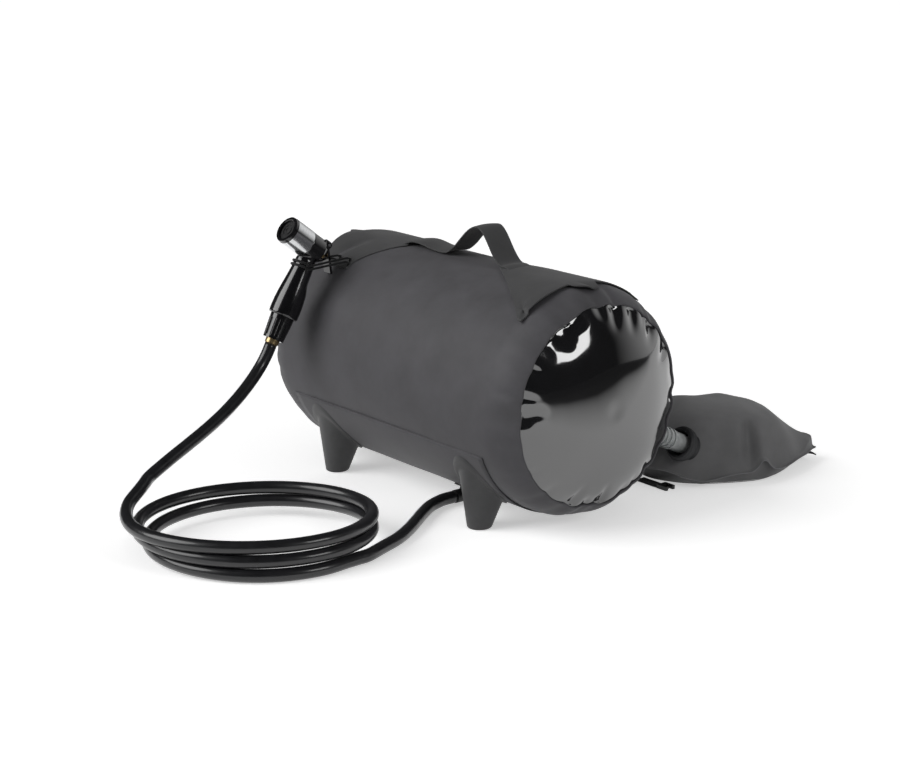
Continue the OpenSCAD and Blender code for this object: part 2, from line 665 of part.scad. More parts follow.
module intake_flap() color(rubber_black) on_intake() translate([0, 0, -intake_in - running - flap_t]) {
    cylinder(r = intake_hole + 2, h = flap_t);
    translate([-5, 0, 0]) cube([10, intake_hole + 4, flap_t]);
}
module on_web() {
    edge = [for (p = pump_ring(ground_share, pump_floor, 0)) [p[0], p[1]]];
    run = unit(edge[web_corner + 1] - edge[web_corner - 1]);
    out = [run[1], -run[0]];
    aside = abs(run * [cos(pump_yaw), -sin(pump_yaw)]);
    start = edge[web_corner] + (running + web_w / 2 * aside) * out;
    on_pump() translate([start[0], start[1], 0]) rotate([0, 0, -pump_yaw])
        translate([0, -web_w / 2, 0]) children();
}
module pump_web_strap() color(rubber_black) on_web() cube([web_len, web_w, web_t]);
module pump_buckle() color(gloss_black) on_web() translate([web_len + running, 0, 0]) {
    cube([5, web_w, 4.5]);
    for (y = [0, web_w - 3.5]) translate([0, y, 0]) cube([buckle_len, 3.5, 4.5]);
    translate([0, web_w / 2 - 1.5, 0]) cube([buckle_len - 4, 3, 3]);
}
module pump_corner_tab() color(rubber_black) on_pump() {
    edge_z = pump_floor + (edge_h - pump_floor) * pump_fall(pump_far);
    translate([pump_far + running, -web_w / 2, edge_z - web_t / 2]) cube([tab_len, web_w, web_t]);
}

// Sprayer pieces
module sprayer_body() color(gloss_black) difference() {
    union() {
        on_sprayer() rotate_extrude() polygon(concat([[0, spigot_z], [spigot_r - snug, spigot_z]],
            [[spigot_r - snug, nut_len], [grip_r0 - 0.8, nut_len], [grip_r0, nut_len + 1]],
            [for (i = [1:10]) let (z = nut_len + 1 + (head_z - nut_len - 1) * i / 10) [grip_r(z), z]],
            [[0, head_z]]));
        on_head() translate([0, 0, -rear_len]) cylinder(r = sleeve_r - 0.2, h = rear_len + sleeve_z);
        on_head() translate([0, 0, sleeve_z]) cylinder(r = core_r, h = face_z - sleeve_z);
        for (side = [-1, 1]) on_head() translate([side * (lever_w / 2 + running + 1.5), 0, 0]) {
            translate([-1.5, pin_y - 5, -pin_z]) cube([3, 9, pin_z - rear_len + 2]);
            translate([-1.5, pin_y - 0.5, -pin_z]) rotate([0, 90, 0]) cylinder(r = 4.5, h = 3);
        }
    }
    on_sprayer() cylinder(r = water_r, h = head_z);
    on_head() translate([0, 0, 3 - rear_len]) cylinder(r = chamber_r, h = rear_len + sleeve_z);
    on_head() translate([0, 0, sleeve_z + 1]) cylinder(r = front_chamber_r, h = 60);
    on_head() translate([0, 0, -40]) cylinder(r = stem_r + snug, h = 50);
    on_head() translate([0, pin_y, -pin_z]) rotate([0, 90, 0])
        cylinder(r = pin_r + snug, h = 60, center = true);
}
module chrome_sleeve() color("#d9dadc") on_head() ring(core_r + snug, sleeve_r, sleeve_z, sleeve_end);
module spray_bezel() color(gloss_black) on_head() rotate_extrude() polygon([
    [core_r - 2.4, face_z + face_t], [core_r - 2.4, sleeve_end + bezel_len - 0.6],
    [core_r - 1.8, sleeve_end + bezel_len], [sleeve_r - 1, sleeve_end + bezel_len],
    [sleeve_r - 0.4, sleeve_end + bezel_len - 0.6], [sleeve_r - 0.4, sleeve_end],
    [core_r + snug, sleeve_end], [core_r + snug, face_z + face_t]]);
module spray_face() color(film_black) on_head() difference() {
    union() {
        translate([0, 0, face_z]) cylinder(r = core_r - snug, h = face_t);
        for (r = [4, 8]) ring(r - 0.8, r + 0.8, face_z + face_t - 0.5, face_z + face_t + 0.8);
    }
    for (n = [1, 2], i = [0:8 * n - 1]) rotate([0, 0, 45 * i / n]) translate([n * 4 + 2, 0, 0])
        cylinder(r = 0.6, h = 60, $fn = 16);
}
module lever_pin() color("#b9bbbe") on_head() translate([0, pin_y, -pin_z]) rotate([0, 90, 0])
    cylinder(r = pin_r, h = lever_w + 2 * running + 6, center = true);
module thumb_lever() color(gloss_black) on_head() translate([0, pin_y, -pin_z]) rotate([lever_angle, 0, 0])
    difference() {
        union() {
            rotate([0, 90, 0]) cylinder(r = 3.5, h = lever_w, center = true);
            translate([-lever_w / 2, -lever_len, -lever_t / 2]) cube([lever_w, lever_len, lever_t]);
            translate([0, -lever_len, 0]) rotate([0, 90, 0])
                cylinder(r = lever_t / 2, h = lever_w, center = true);
        }
        rotate([0, 90, 0]) cylinder(r = pin_r + snug, h = lever_w + 2, center = true);
    }
module valve_stem() color("#b58a45") on_head() {
    translate([0, 0, tip_z]) sphere(r = stem_r);
    translate([0, 0, tip_z]) cylinder(r = stem_r, h = poppet_z - tip_z);
    translate([0, 0, poppet_z]) cylinder(r = poppet_r, h = poppet_t);
}
module valve_seat() color(rubber_black) on_head()
    ring(seat_hole_r, front_chamber_r - snug, sleeve_z + 1, sleeve_z + 1 + seat_t);
module valve_spring() color("#c5c7c9") {
    z0 = poppet_z + poppet_t + spring_wire / 2 + 0.2;
    z1 = face_z - spring_wire / 2 - 0.2;
    rings = 8 * spring_turns;
    on_head() tube([for (i = [0:rings]) let (a = 360 * spring_turns * i / rings)
        [spring_r * cos(a), spring_r * sin(a), z0 + (z1 - z0) * i / rings]], spring_wire, 6);
}
module collar_nut() color(gloss_black) on_sprayer() difference() {
    cylinder(r1 = nut_r0, r2 = nut_r1, h = nut_len - running);
    translate([0, 0, -1]) cylinder(r = ferrule_r + running, h = nut_lip + 2);
    translate([0, 0, nut_lip]) cylinder(r = spigot_r + running, h = nut_len);
    for (i = [0:nut_ribs - 1]) rotate([0, 0, 360 * i / nut_ribs]) translate([nut_r0 + 0.6, 0, 3])
        rotate([0, atan((nut_r1 - nut_r0) / nut_len), 0]) cylinder(r = 1, h = nut_len - 8, $fn = 16);
}
module hose_ferrule() color("#c9a35a") on_sprayer() difference() {
    union() {
        translate([0, 0, -ferrule_show]) cylinder(r = ferrule_r, h = ferrule_show + nut_lip + 1);
        translate([0, 0, nut_lip + running]) cylinder(r = spigot_r, h = flange_t);
    }
    translate([0, 0, -20]) cylinder(r = water_r, h = 60);
}
module hose_washer() color(rubber_black) on_sprayer()
    ring(water_r, spigot_r - snug, nut_lip + running + flange_t, spigot_z);

// Hose
module hose_riser() color(rubber_black) tube(riser_path, hose_d, tube_sides);
module hose_coil() color(rubber_black) tube(coil_path, hose_d, coil_sides);
module hose_tail() color(rubber_black) tube(tail_path, hose_d, tube_sides);

translate(shift) {
    tank_body();
    window_end_panel();
    fill_end_panel();
    base_panel();
    foot_front_left();
    foot_front_right();
    foot_rear_left();
    foot_rear_right();
    left_patch();
    right_patch();
    carry_strap();
    holster_tab();
    holster_cord_upper();
    holster_cord_lower();
    fill_neck();
    cap_seal();
    fill_cap();
    outlet_elbow();
    outlet_nut();
    inlet_valve();
    inlet_flap();
    air_connector();
    outlet_port();
    pump_base();
    pump_bag();
    pump_top_panel();
    pump_foam();
    intake_collar();
    intake_flap();
    pump_web_strap();
    pump_buckle();
    pump_corner_tab();
    sprayer_body();
    chrome_sleeve();
    spray_bezel();
    spray_face();
    lever_pin();
    thumb_lever();
    valve_stem();
    valve_seat();
    valve_spring();
    collar_nut();
    hose_ferrule();
    hose_washer();
    hose_riser();
    hose_coil();
    hose_tail();
}
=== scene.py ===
import bpy
import math
import random
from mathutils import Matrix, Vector, noise


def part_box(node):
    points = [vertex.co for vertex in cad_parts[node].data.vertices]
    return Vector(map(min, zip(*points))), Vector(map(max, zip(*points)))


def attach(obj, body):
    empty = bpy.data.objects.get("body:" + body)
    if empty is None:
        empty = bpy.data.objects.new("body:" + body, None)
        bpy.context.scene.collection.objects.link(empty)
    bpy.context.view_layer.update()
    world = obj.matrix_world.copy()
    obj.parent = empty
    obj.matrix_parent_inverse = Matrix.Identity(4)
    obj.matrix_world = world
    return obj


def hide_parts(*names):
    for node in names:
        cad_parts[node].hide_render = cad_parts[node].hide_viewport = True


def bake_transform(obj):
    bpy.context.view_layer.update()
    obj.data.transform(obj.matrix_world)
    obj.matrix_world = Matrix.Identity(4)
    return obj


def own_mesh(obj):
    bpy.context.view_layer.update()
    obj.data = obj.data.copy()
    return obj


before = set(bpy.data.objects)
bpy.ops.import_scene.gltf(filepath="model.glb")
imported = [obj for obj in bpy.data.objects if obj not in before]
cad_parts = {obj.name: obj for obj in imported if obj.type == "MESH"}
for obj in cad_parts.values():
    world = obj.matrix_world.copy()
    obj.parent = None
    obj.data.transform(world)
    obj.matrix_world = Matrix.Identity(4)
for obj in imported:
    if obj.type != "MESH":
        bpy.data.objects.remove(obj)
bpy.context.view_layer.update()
mm = 0.001
print("frame loaded with", len(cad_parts), "nodes")

# the tank's own lines, read from the frame
tankLow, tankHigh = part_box("tank_body")
tankX, tankY, tankZ = ((a + b) / 2 for a, b in zip(tankLow, tankHigh))
tankR = (tankHigh[2] - tankLow[2]) / 2
seamHalf = (tankHigh[0] - tankLow[0]) / 2


def inTank(x, y, z):  # millimetres from the tank's middle on the ground, as the part's source has them
    return Vector((tankX + x * mm, tankY + y * mm, z * mm))


def onSkin(x, angle, r):  # angle from the top towards the sprayer's side
    return Vector((tankX + x, tankY - r * math.sin(angle), tankZ + r * math.cos(angle)))


def smoothStep(low, high, value):
    t = min(1.0, max(0.0, (value - low) / (high - low)))
    return t * t * (3 - 2 * t)


def bump(value, middle, width):
    return math.exp(-((value - middle) / width) ** 2)


def ripple(place, size, seed=0.0):  # smooth noise from minus one to one
    return noise.noise(Vector(place) / size + Vector((seed, 3.1 * seed, 7.7 * seed)))


# camera, set where the photo was taken from
camera = {"place": inTank(1668.1, -1363.4, 696.1), "turn": 51.253, "drop": 15.0, "lens": 79.58}
bpy.ops.object.select_all(action="DESELECT")
bpy.ops.object.camera_add(location=camera["place"])
cameraPiece = bpy.context.object
cameraPiece.rotation_euler = (math.radians(90 - camera["drop"]), 0, math.radians(camera["turn"]))
cameraPiece.data.lens = camera["lens"]
cameraPiece.data.sensor_width = 36
cameraPiece.data.clip_end = 50
bpy.context.scene.camera = cameraPiece
print("camera set")


def linear(hexColour):  # sRGB hex to linear colour
    parts = [int(hexColour[i:i + 2], 16) / 255 for i in (1, 3, 5)]
    return tuple(c / 12.92 if c <= 0.04045 else ((c + 0.055) / 1.055) ** 2.4 for c in parts) + (1.0,)


def addNode(tree, kind, settings=None, links=None):  # one node with its settings and its links
    node = tree.nodes.new(kind)
    for key, value in (settings or {}).items():
        if isinstance(key, int) or key in node.inputs:
            node.inputs[key].default_value = value
        else:
            setattr(node, key, value)
    for key, source in (links or {}).items():
        tree.links.new(source, node.inputs[key])
    return node


def newMaterial(name, settings):  # a surface with its fixed values, ready for more nodes
    made = bpy.data.materials.new(name)
    made.use_nodes = True
    shader = made.node_tree.nodes["Principled BSDF"]
    for key, value in settings.items():
        shader.inputs[key].default_value = value
    return made, made.node_tree, shader


def setRamp(ramp, stops):
    for place, colour in stops[1:-1]:
        ramp.color_ramp.elements.new(place)
    for element, (place, colour) in zip(ramp.color_ramp.elements, stops):
        element.position = place
        element.color = colour


# polyester cloth with a matt urethane coat: soft mottling, a dry sheen at the edges, and a faint weave
# that is drawn coarser than the real thread so that it shows
def coatedFabric(name, dark, light, threadMm, shine):
    made, tree, shader = newMaterial(name, {"Roughness": shine, "Sheen Weight": 0.12, "Sheen Roughness": 0.5})
    spot = addNode(tree, "ShaderNodeTexCoord")
    mottle = addNode(tree, "ShaderNodeTexNoise", {"Scale": 1 / (45 * mm), "Detail": 4.0, "Roughness": 0.6},
                     {"Vector": spot.outputs["Object"]})
    ramp = addNode(tree, "ShaderNodeValToRGB", {}, {"Fac": mottle.outputs["Fac"]})
    setRamp(ramp, [(0.32, linear(dark)), (0.7, linear(light))])
    tree.links.new(ramp.outputs["Color"], shader.inputs["Base Color"])
    warp = addNode(tree, "ShaderNodeTexWave", {"Scale": 1 / (threadMm * mm) / 3.14, "bands_direction": "X",
                   "Distortion": 0.3}, {"Vector": spot.outputs["UV"]})
    weft = addNode(tree, "ShaderNodeTexWave", {"Scale": 1 / (threadMm * mm) / 3.14, "bands_direction": "Y",
                   "Distortion": 0.3}, {"Vector": spot.outputs["UV"]})
    weave = addNode(tree, "ShaderNodeMath", {"operation": "MAXIMUM"},
                    {0: warp.outputs["Fac"], 1: weft.outputs["Fac"]})
    soft = addNode(tree, "ShaderNodeTexNoise", {"Scale": 1 / (9 * mm), "Detail": 2.0},
                   {"Vector": spot.outputs["Object"]})
    weaveBump = addNode(tree, "ShaderNodeBump", {"Strength": 0.12, "Distance": 0.15 * mm},
                        {"Height": weave.outputs["Value"]})
    softBump = addNode(tree, "ShaderNodeBump", {"Strength": 0.15, "Distance": 0.6 * mm},
                       {"Height": soft.outputs["Fac"], "Normal": weaveBump.outputs["Normal"]})
    tree.links.new(softBump.outputs["Normal"], shader.inputs["Normal"])
    rough = addNode(tree, "ShaderNodeMapRange", {"To Min": shine - 0.06, "To Max": shine + 0.08},
                    {"Value": mottle.outputs["Fac"]})
    tree.links.new(rough.outputs["Result"], shader.inputs["Roughness"])
    return made


# glossy black vinyl film, drawn tight: mirror-like with a slow ripple
def glossFilm():
    made, tree, shader = newMaterial("glossyVinylFilm", {"IOR": 2.0, "Coat Weight": 0.5,
                                     "Coat Roughness": 0.03, "Coat IOR": 1.6})
    spot = addNode(tree, "ShaderNodeTexCoord")
    slow = addNode(tree, "ShaderNodeTexNoise", {"Scale": 1 / (60 * mm), "Detail": 1.5},
                   {"Vector": spot.outputs["Object"]})
    ramp = addNode(tree, "ShaderNodeValToRGB", {}, {"Fac": slow.outputs["Fac"]})
    setRamp(ramp, [(0.3, linear("#0b0b0d")), (0.75, linear("#17171a"))])
    tree.links.new(ramp.outputs["Color"], shader.inputs["Base Color"])
    rough = addNode(tree, "ShaderNodeMapRange", {"To Min": 0.05, "To Max": 0.11},
                    {"Value": slow.outputs["Fac"]})
    tree.links.new(rough.outputs["Result"], shader.inputs["Roughness"])
    lift = addNode(tree, "ShaderNodeBump", {"Strength": 0.25, "Distance": 0.8 * mm},
                   {"Height": slow.outputs["Fac"]})
    tree.links.new(lift.outputs["Normal"], shader.inputs["Normal"])
    return made


# moulded plastic or rubber: fine moulding grain, a little dust in the shine
def moulded(name, dark, light, shine, grainMm, grainDepth, coat=0.0):
    made, tree, shader = newMaterial(name, {"Coat Weight": coat, "Coat Roughness": 0.06, "IOR": 1.5})
    spot = addNode(tree, "ShaderNodeTexCoord")
    cloud = addNode(tree, "ShaderNodeTexNoise", {"Scale": 1 / (14 * mm), "Detail": 5.0, "Roughness": 0.65},
                    {"Vector": spot.outputs["Object"]})
    ramp = addNode(tree, "ShaderNodeValToRGB", {}, {"Fac": cloud.outputs["Fac"]})
    setRamp(ramp, [(0.3, linear(dark)), (0.75, linear(light))])
    tree.links.new(ramp.outputs["Color"], shader.inputs["Base Color"])
    rough = addNode(tree, "ShaderNodeMapRange", {"To Min": shine * 0.75, "To Max": shine * 1.3},
                    {"Value": cloud.outputs["Fac"]})
    tree.links.new(rough.outputs["Result"], shader.inputs["Roughness"])
    grain = addNode(tree, "ShaderNodeTexNoise", {"Scale": 1 / (grainMm * mm), "Detail": 2.0},
                    {"Vector": spot.outputs["Object"]})
    lift = addNode(tree, "ShaderNodeBump", {"Strength": grainDepth, "Distance": 0.12 * mm},
                   {"Height": grain.outputs["Fac"]})
    tree.links.new(lift.outputs["Normal"], shader.inputs["Normal"])
    return made


# metal: chrome plate, turned brass or drawn wire, with faint marks in the polish
def metal(name, dark, light, shine):
    made, tree, shader = newMaterial(name, {"Metallic": 1.0})
    spot = addNode(tree, "ShaderNodeTexCoord")
    marks = addNode(tree, "ShaderNodeTexNoise", {"Scale": 1 / (3 * mm), "Detail": 6.0, "Roughness": 0.7},
                    {"Vector": spot.outputs["Object"]})
    ramp = addNode(tree, "ShaderNodeValToRGB", {}, {"Fac": marks.outputs["Fac"]})
    setRamp(ramp, [(0.25, linear(dark)), (0.7, linear(light))])
    tree.links.new(ramp.outputs["Color"], shader.inputs["Base Color"])
    rough = addNode(tree, "ShaderNodeMapRange", {"To Min": shine * 0.6, "To Max": shine * 1.6},
                    {"Value": marks.outputs["Fac"]})
    tree.links.new(rough.outputs["Result"], shader.inputs["Roughness"])
    return made


# woven webbing or knitted elastic: ribs across, fuzzy sheen
def webbing(name, dark, light, ribMm):
    made, tree, shader = newMaterial(name, {"Roughness": 0.8, "Sheen Weight": 0.2, "Sheen Roughness": 0.4})
    spot = addNode(tree, "ShaderNodeTexCoord")
    ribs = addNode(tree, "ShaderNodeTexWave", {"Scale": 1 / (ribMm * mm) / 3.14,
                   "bands_direction": "DIAGONAL", "Distortion": 0.6}, {"Vector": spot.outputs["Object"]})
    ramp = addNode(tree, "ShaderNodeValToRGB", {}, {"Fac": ribs.outputs["Fac"]})
    setRamp(ramp, [(0.2, linear(dark)), (0.85, linear(light))])
    tree.links.new(ramp.outputs["Color"], shader.inputs["Base Color"])
    lift = addNode(tree, "ShaderNodeBump", {"Strength": 0.5, "Distance": 0.25 * mm},
                   {"Height": ribs.outputs["Fac"]})
    tree.links.new(lift.outputs["Normal"], shader.inputs["Normal"])
    return made


# clear soft vinyl, slightly smoky, as it comes from the mould
def clearVinyl():
    made, tree, shader = newMaterial("clearVinyl", {"IOR": 1.53, "Transmission Weight": 0.5})
    spot = addNode(tree, "ShaderNodeTexCoord")
    cloud = addNode(tree, "ShaderNodeTexNoise", {"Scale": 1 / (6 * mm), "Detail": 3.0},
                    {"Vector": spot.outputs["Object"]})
    ramp = addNode(tree, "ShaderNodeValToRGB", {}, {"Fac": cloud.outputs["Fac"]})
    setRamp(ramp, [(0.3, linear("#bfc4c4")), (0.8, linear("#eef0f0"))])
    tree.links.new(ramp.outputs["Color"], shader.inputs["Base Color"])
    rough = addNode(tree, "ShaderNodeMapRange", {"To Min": 0.12, "To Max": 0.3},
                    {"Value": cloud.outputs["Fac"]})
    tree.links.new(rough.outputs["Result"], shader.inputs["Roughness"])
    return made


finish = {
    "tank": coatedFabric("coatedTankFabric", "#434245", "#4f4e52", 1.4, 0.62),
    "strap": coatedFabric("coatedStrapFabric", "#39393a", "#444445", 1.2, 0.66),
    "pump": coatedFabric("coatedPumpFabric", "#656566", "#727273", 1.4, 0.64),
    "film": glossFilm(),
    "cutEdge": moulded("cutFabricEdge", "#77777a", "#8f8f92", 0.7, 0.5, 0.3),
    "foot": moulded("mouldedFootRubber", "#3f3f40", "#4b4b4c", 0.5, 0.8, 0.15),
    "black": moulded("satinNylon", "#151516", "#1f1f21", 0.42, 0.7, 0.2),
    "sprayer": moulded("glossBlackPlastic", "#0c0c0e", "#141417", 0.16, 2.0, 0.03, 0.6),
    "rubber": moulded("blackRubber", "#1a1b1d", "#26272a", 0.55, 0.6, 0.25),
    "hose": moulded("glossyHoseVinyl", "#19191b", "#232326", 0.3, 3.0, 0.05, 0.35),
    "chrome": metal("chromePlate", "#d2d4d7", "#eceded", 0.13),
    "brass": metal("turnedBrass", "#9a8560", "#c2ac82", 0.3),
    "steel": metal("springSteel", "#9a9c9f", "#c2c4c6", 0.25),
    "elastic": webbing("elasticCord", "#0a0a0b", "#141416", 1.2),
    "webbing": webbing("wovenWebbing", "#131314", "#262628", 1.5),
    "clear": clearVinyl(),
    "foam": moulded("openFoam", "#7d7d78", "#93938d", 0.9, 1.5, 0.8),
}
print("materials made:", len(finish))


def dress(piece, material, body, slot, *nodes):  # finish, ride and stand for the part's own solids
    if piece.data.materials:
        piece.data.materials.clear()
    piece.data.materials.append(finish[material])
    if body:
        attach(piece, body)
    if nodes:
        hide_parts(*nodes)
    return piece


def tidyMesh(piece, merge=0.00001):
    bpy.ops.object.select_all(action="DESELECT")
    piece.select_set(True)
    bpy.context.view_layer.objects.active = piece
    bpy.ops.object.mode_set(mode="EDIT")
    bpy.ops.mesh.select_all(action="SELECT")
    bpy.ops.mesh.remove_doubles(threshold=merge)
    bpy.ops.mesh.normals_make_consistent(inside=False)
    bpy.ops.object.mode_set(mode="OBJECT")
    bpy.ops.object.shade_smooth()


def gridPiece(name, rows, columns, place, uvSize=(1.0, 1.0), edgeRows=()):  # a grid laid over a shape
    bpy.ops.object.select_all(action="DESELECT")
    bpy.ops.mesh.primitive_grid_add(x_subdivisions=rows, y_subdivisions=columns, size=1, calc_uvs=True)
    piece = bpy.context.object
    piece.name = piece.data.name = name
    for loop in piece.data.uv_layers[0].data:
        loop.uv = (loop.uv[0] * uvSize[0], loop.uv[1] * uvSize[1])
    for face in piece.data.polygons:
        face.material_index = int(math.floor((face.center.x + 0.5) * rows) in edgeRows)
    for vertex in piece.data.vertices:
        vertex.co = place(round((vertex.co.x + 0.5) * rows), round((vertex.co.y + 0.5) * columns) / columns)
    tidyMesh(piece)
    return piece


def addModifier(piece, kind, **settings):
    bpy.ops.object.select_all(action="DESELECT")
    piece.select_set(True)
    bpy.context.view_layer.objects.active = piece
    modifier = piece.modifiers.new(kind.title(), kind)
    for key, value in settings.items():
        setattr(modifier, key, value)
    bpy.ops.object.modifier_apply(modifier=modifier.name)


def smoothLine(points, spacing):  # a line through the points, with even short steps
    ends = [2 * points[0] - points[1]] + points + [2 * points[-1] - points[-2]]
    line = []
    for a, b, c, d in zip(ends, ends[1:], ends[2:], ends[3:]):
        steps = max(1, round((c - b).length / spacing))
        for i in range(steps):
            t = i / steps
            line.append(0.5 * (2 * b + (c - a) * t + (2 * a - 5 * b + 4 * c - d) * t * t
                               + (3 * b - a - 3 * c + d) * t ** 3))
    return line + [points[-1]]


def tubePiece(name, line, diameter, sides):  # a round tube along a line, made as a bevelled curve
    bpy.ops.object.select_all(action="DESELECT")
    curve = bpy.data.curves.new(name, "CURVE")
    curve.dimensions = "3D"
    curve.bevel_depth = diameter / 2
    curve.bevel_resolution = sides // 4
    curve.use_fill_caps = True
    spline = curve.splines.new("POLY")
    spline.points.add(len(line) - 1)
    for point, place in zip(spline.points, line):
        point.co = (*place, 1)
    piece = bpy.data.objects.new(name, curve)
    bpy.context.scene.collection.objects.link(piece)
    piece.select_set(True)
    bpy.context.view_layer.objects.active = piece
    bpy.ops.object.convert(target="MESH")
    piece = bpy.context.object
    piece.name = piece.data.name = name
    tidyMesh(piece)
    return piece


# hose, along the part's own route: down from the sprayer, round the coil and under the tank
hose = {"diameter": 13.8, "from": -0.1, "turns": 2.44, "halfLength": 126, "halfWidth": 103, "pitch": 14,
        "level": 0.25, "dip": 0.1, "lift": 547, "middle": (27.5, -310.5), "right": (0.626, 0.780),
        "back": (-0.780, 0.626), "drift": (5.5, -1.5), "pointsPerTurn": 24, "spacing": 4}
ferruleEnd = Vector((-142, -167.277, 160.123))
ferruleWay = Vector((0, -0.48481, -0.87462))
outletEnd = Vector((52.5, -60.552, 8.1))
riserRoute = [(-140.6, -184, 135.5), (-135, -200.5, 122.8), (-127.3, -222, 110), (-119.2, -246.5, 98),
              (-112, -272.5, 87), (-105.5, -299.5, 76.8), (-99, -328.5, 66)]
tailRoute = [(131, -217, 7), (120.5, -191, 7), (105.5, -165.5, 7), (89, -142.5, 7), (73, -121, 7),
             (60, -101, 7.2), (53.8, -83.5, 7.7)]


def coilPoint(turn):
    height = hose["diameter"] / 2 + 0.1 + 2 * hose["pitch"]
    if turn < hose["level"]:
        height += hose["lift"] * max(0, hose["dip"] - turn) ** 2
    else:
        whole = math.floor(turn - hose["level"])
        part = turn - hose["level"] - whole
        height -= hose["pitch"] * (whole + max(0, (part - hose["level"]) / (1 - hose["level"])))
    step = hose["drift"][0] * turn
    along = step - (hose["halfLength"] - step) * math.cos(2 * math.pi * turn)
    across = hose["drift"][1] * turn - hose["halfWidth"] * math.sin(2 * math.pi * turn)
    return Vector((hose["middle"][0] + along * hose["right"][0] + across * hose["back"][0],
                   hose["middle"][1] + along * hose["right"][1] + across * hose["back"][1], height))


coilLong = hose["turns"] - hose["from"]
coilCount = round(coilLong * hose["pointsPerTurn"])
coilRoute = [coilPoint(hose["from"] + coilLong * i / coilCount) for i in range(1, coilCount)]
coilIn = (coilRoute[1] - coilRoute[0]).normalized()
coilOut = (coilRoute[-1] - coilRoute[-2]).normalized()
oneWide = hose["diameter"]
hoseRoute = ([ferruleEnd, ferruleEnd + oneWide * ferruleWay] + [Vector(p) for p in riserRoute]
             + [coilRoute[0] - 2 * oneWide * coilIn, coilRoute[0] - oneWide * coilIn] + coilRoute
             + [coilRoute[-1] + oneWide * coilOut, coilRoute[-1] + 2 * oneWide * coilOut]
             + [Vector(p) for p in tailRoute] + [outletEnd - Vector((0, oneWide, 0)), outletEnd])
hoseLine = [inTank(*p) for p in smoothLine(hoseRoute, hose["spacing"])]
hosePiece = tubePiece("showerHose", hoseLine, hose["diameter"] * mm, 20)
dress(hosePiece, "hose", None, "hose_vinyl", "hose_riser", "hose_coil", "hose_tail")
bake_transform(hosePiece)

# tank skin: a straight tube with rounded shoulders, drawn into puckers at each end seam
tank = {"shoulder": 178 * mm, "seamDrop": 15 * mm, "puckers": 24, "depth": 3.6 * mm, "drawnFrom": 46 * mm,
        "drawnBack": 0.35, "slack": 0.9 * mm, "slackSize": 0.11, "crinkle": 0.5 * mm, "crinkleSize": 0.04,
        "around": 288, "along": 26, "shoulderRows": 16}
seamR = tankR - tank["seamDrop"]
shoulderLong = seamHalf - tank["shoulder"]
shoulderR = (shoulderLong ** 2 + tank["seamDrop"] ** 2) / (2 * tank["seamDrop"])
dice = random.Random(5)


def makePuckers():  # angle, width and depth of each pucker round one seam
    step = 2 * math.pi / tank["puckers"]
    return [((i + dice.uniform(-0.32, 0.32)) * step, step * dice.uniform(0.16, 0.34), dice.uniform(0.25, 1.0))
            for i in range(tank["puckers"])]


puckers = {1: makePuckers(), -1: makePuckers()}
filmPleats = [(33, 7, 2.0), (-8, 3.5, 1.2), (-24, 4.0, 1.4), (-43, 4.5, 1.4), (-62, 4.0, 1.0), (84, 4.0, 1.0),
              (159, 3.0, 1.3), (-178, 3.0, 1.2)]  # degrees, width, depth


def puckerAt(side, angle):
    total = 0.0
    for middle, width, depth in puckers[side]:
        gap = (angle - middle + math.pi) % (2 * math.pi) - math.pi
        total += depth * math.exp(-(gap / width) ** 2)
    return total


def pleatAt(angle):
    total = 0.0
    for middle, width, depth in filmPleats:
        gap = (math.degrees(angle) - middle + 180) % 360 - 180
        total += depth * math.exp(-(gap / width) ** 2)
    return total


def skinR(x):
    past = max(0.0, abs(x) - tank["shoulder"])
    return tankR - shoulderR + math.sqrt(shoulderR ** 2 - past ** 2)


shoulderXs = [tank["shoulder"] + shoulderLong * math.sin(math.pi / 2 * i / tank["shoulderRows"])
              for i in range(tank["shoulderRows"] + 1)]
straightXs = [tank["shoulder"] * (2 * i / tank["along"] - 1) for i in range(1, tank["along"])]
skinXs = [-x for x in reversed(shoulderXs)] + straightXs + shoulderXs
# the turned-in edge: out from the seam and in from its radius, mm
lipRows = [(0.5, 1.0), (0.3, 1.7), (-0.8, 2.2)]
skinRows = ([(-seamHalf - out * mm, seamR - drop * mm, 1.0) for out, drop in reversed(lipRows)]
            + [(x, skinR(x), smoothStep(tank["drawnFrom"], 0, seamHalf - abs(x))) for x in skinXs]
            + [(seamHalf + out * mm, seamR - drop * mm, 1.0) for out, drop in lipRows])


def skinPlace(row, turn):
    x, r, pull = skinRows[row]
    side = 1 if x > 0 else -1
    angle = 2 * math.pi * turn
    pucker = puckerAt(side, angle) * pull
    spot = onSkin(x, angle, r)
    slack = tank["slack"] * ripple(spot, tank["slackSize"])
    slack += tank["crinkle"] * ripple(spot, tank["crinkleSize"], 2.0)
    back = side * tank["drawnBack"] * tank["depth"] * pucker
    return onSkin(x - back, angle, r - tank["depth"] * pucker + slack * (1 - pull))


tankSkin = gridPiece("tankSkin", len(skinRows) - 1, tank["around"], skinPlace,
                     (2 * seamHalf + 0.02, 2 * math.pi * tankR))
dress(tankSkin, "tank", "tank", "coated_fabric", "tank_body")


# end panels: glossy film on the near end, fabric on the filling end, both blown out behind their seam
ends = {"inset": 1.5 * mm, "seat": 1.0 * mm, "rows": 40, "crowd": 1.35, "dome": 2.6, "rimDent": 1.0 * mm,
        "pleat": 2.4 * mm, "slack": 1.0 * mm, "slackSize": 0.075, "crinkle": 0.9 * mm, "crinkleSize": 0.036}


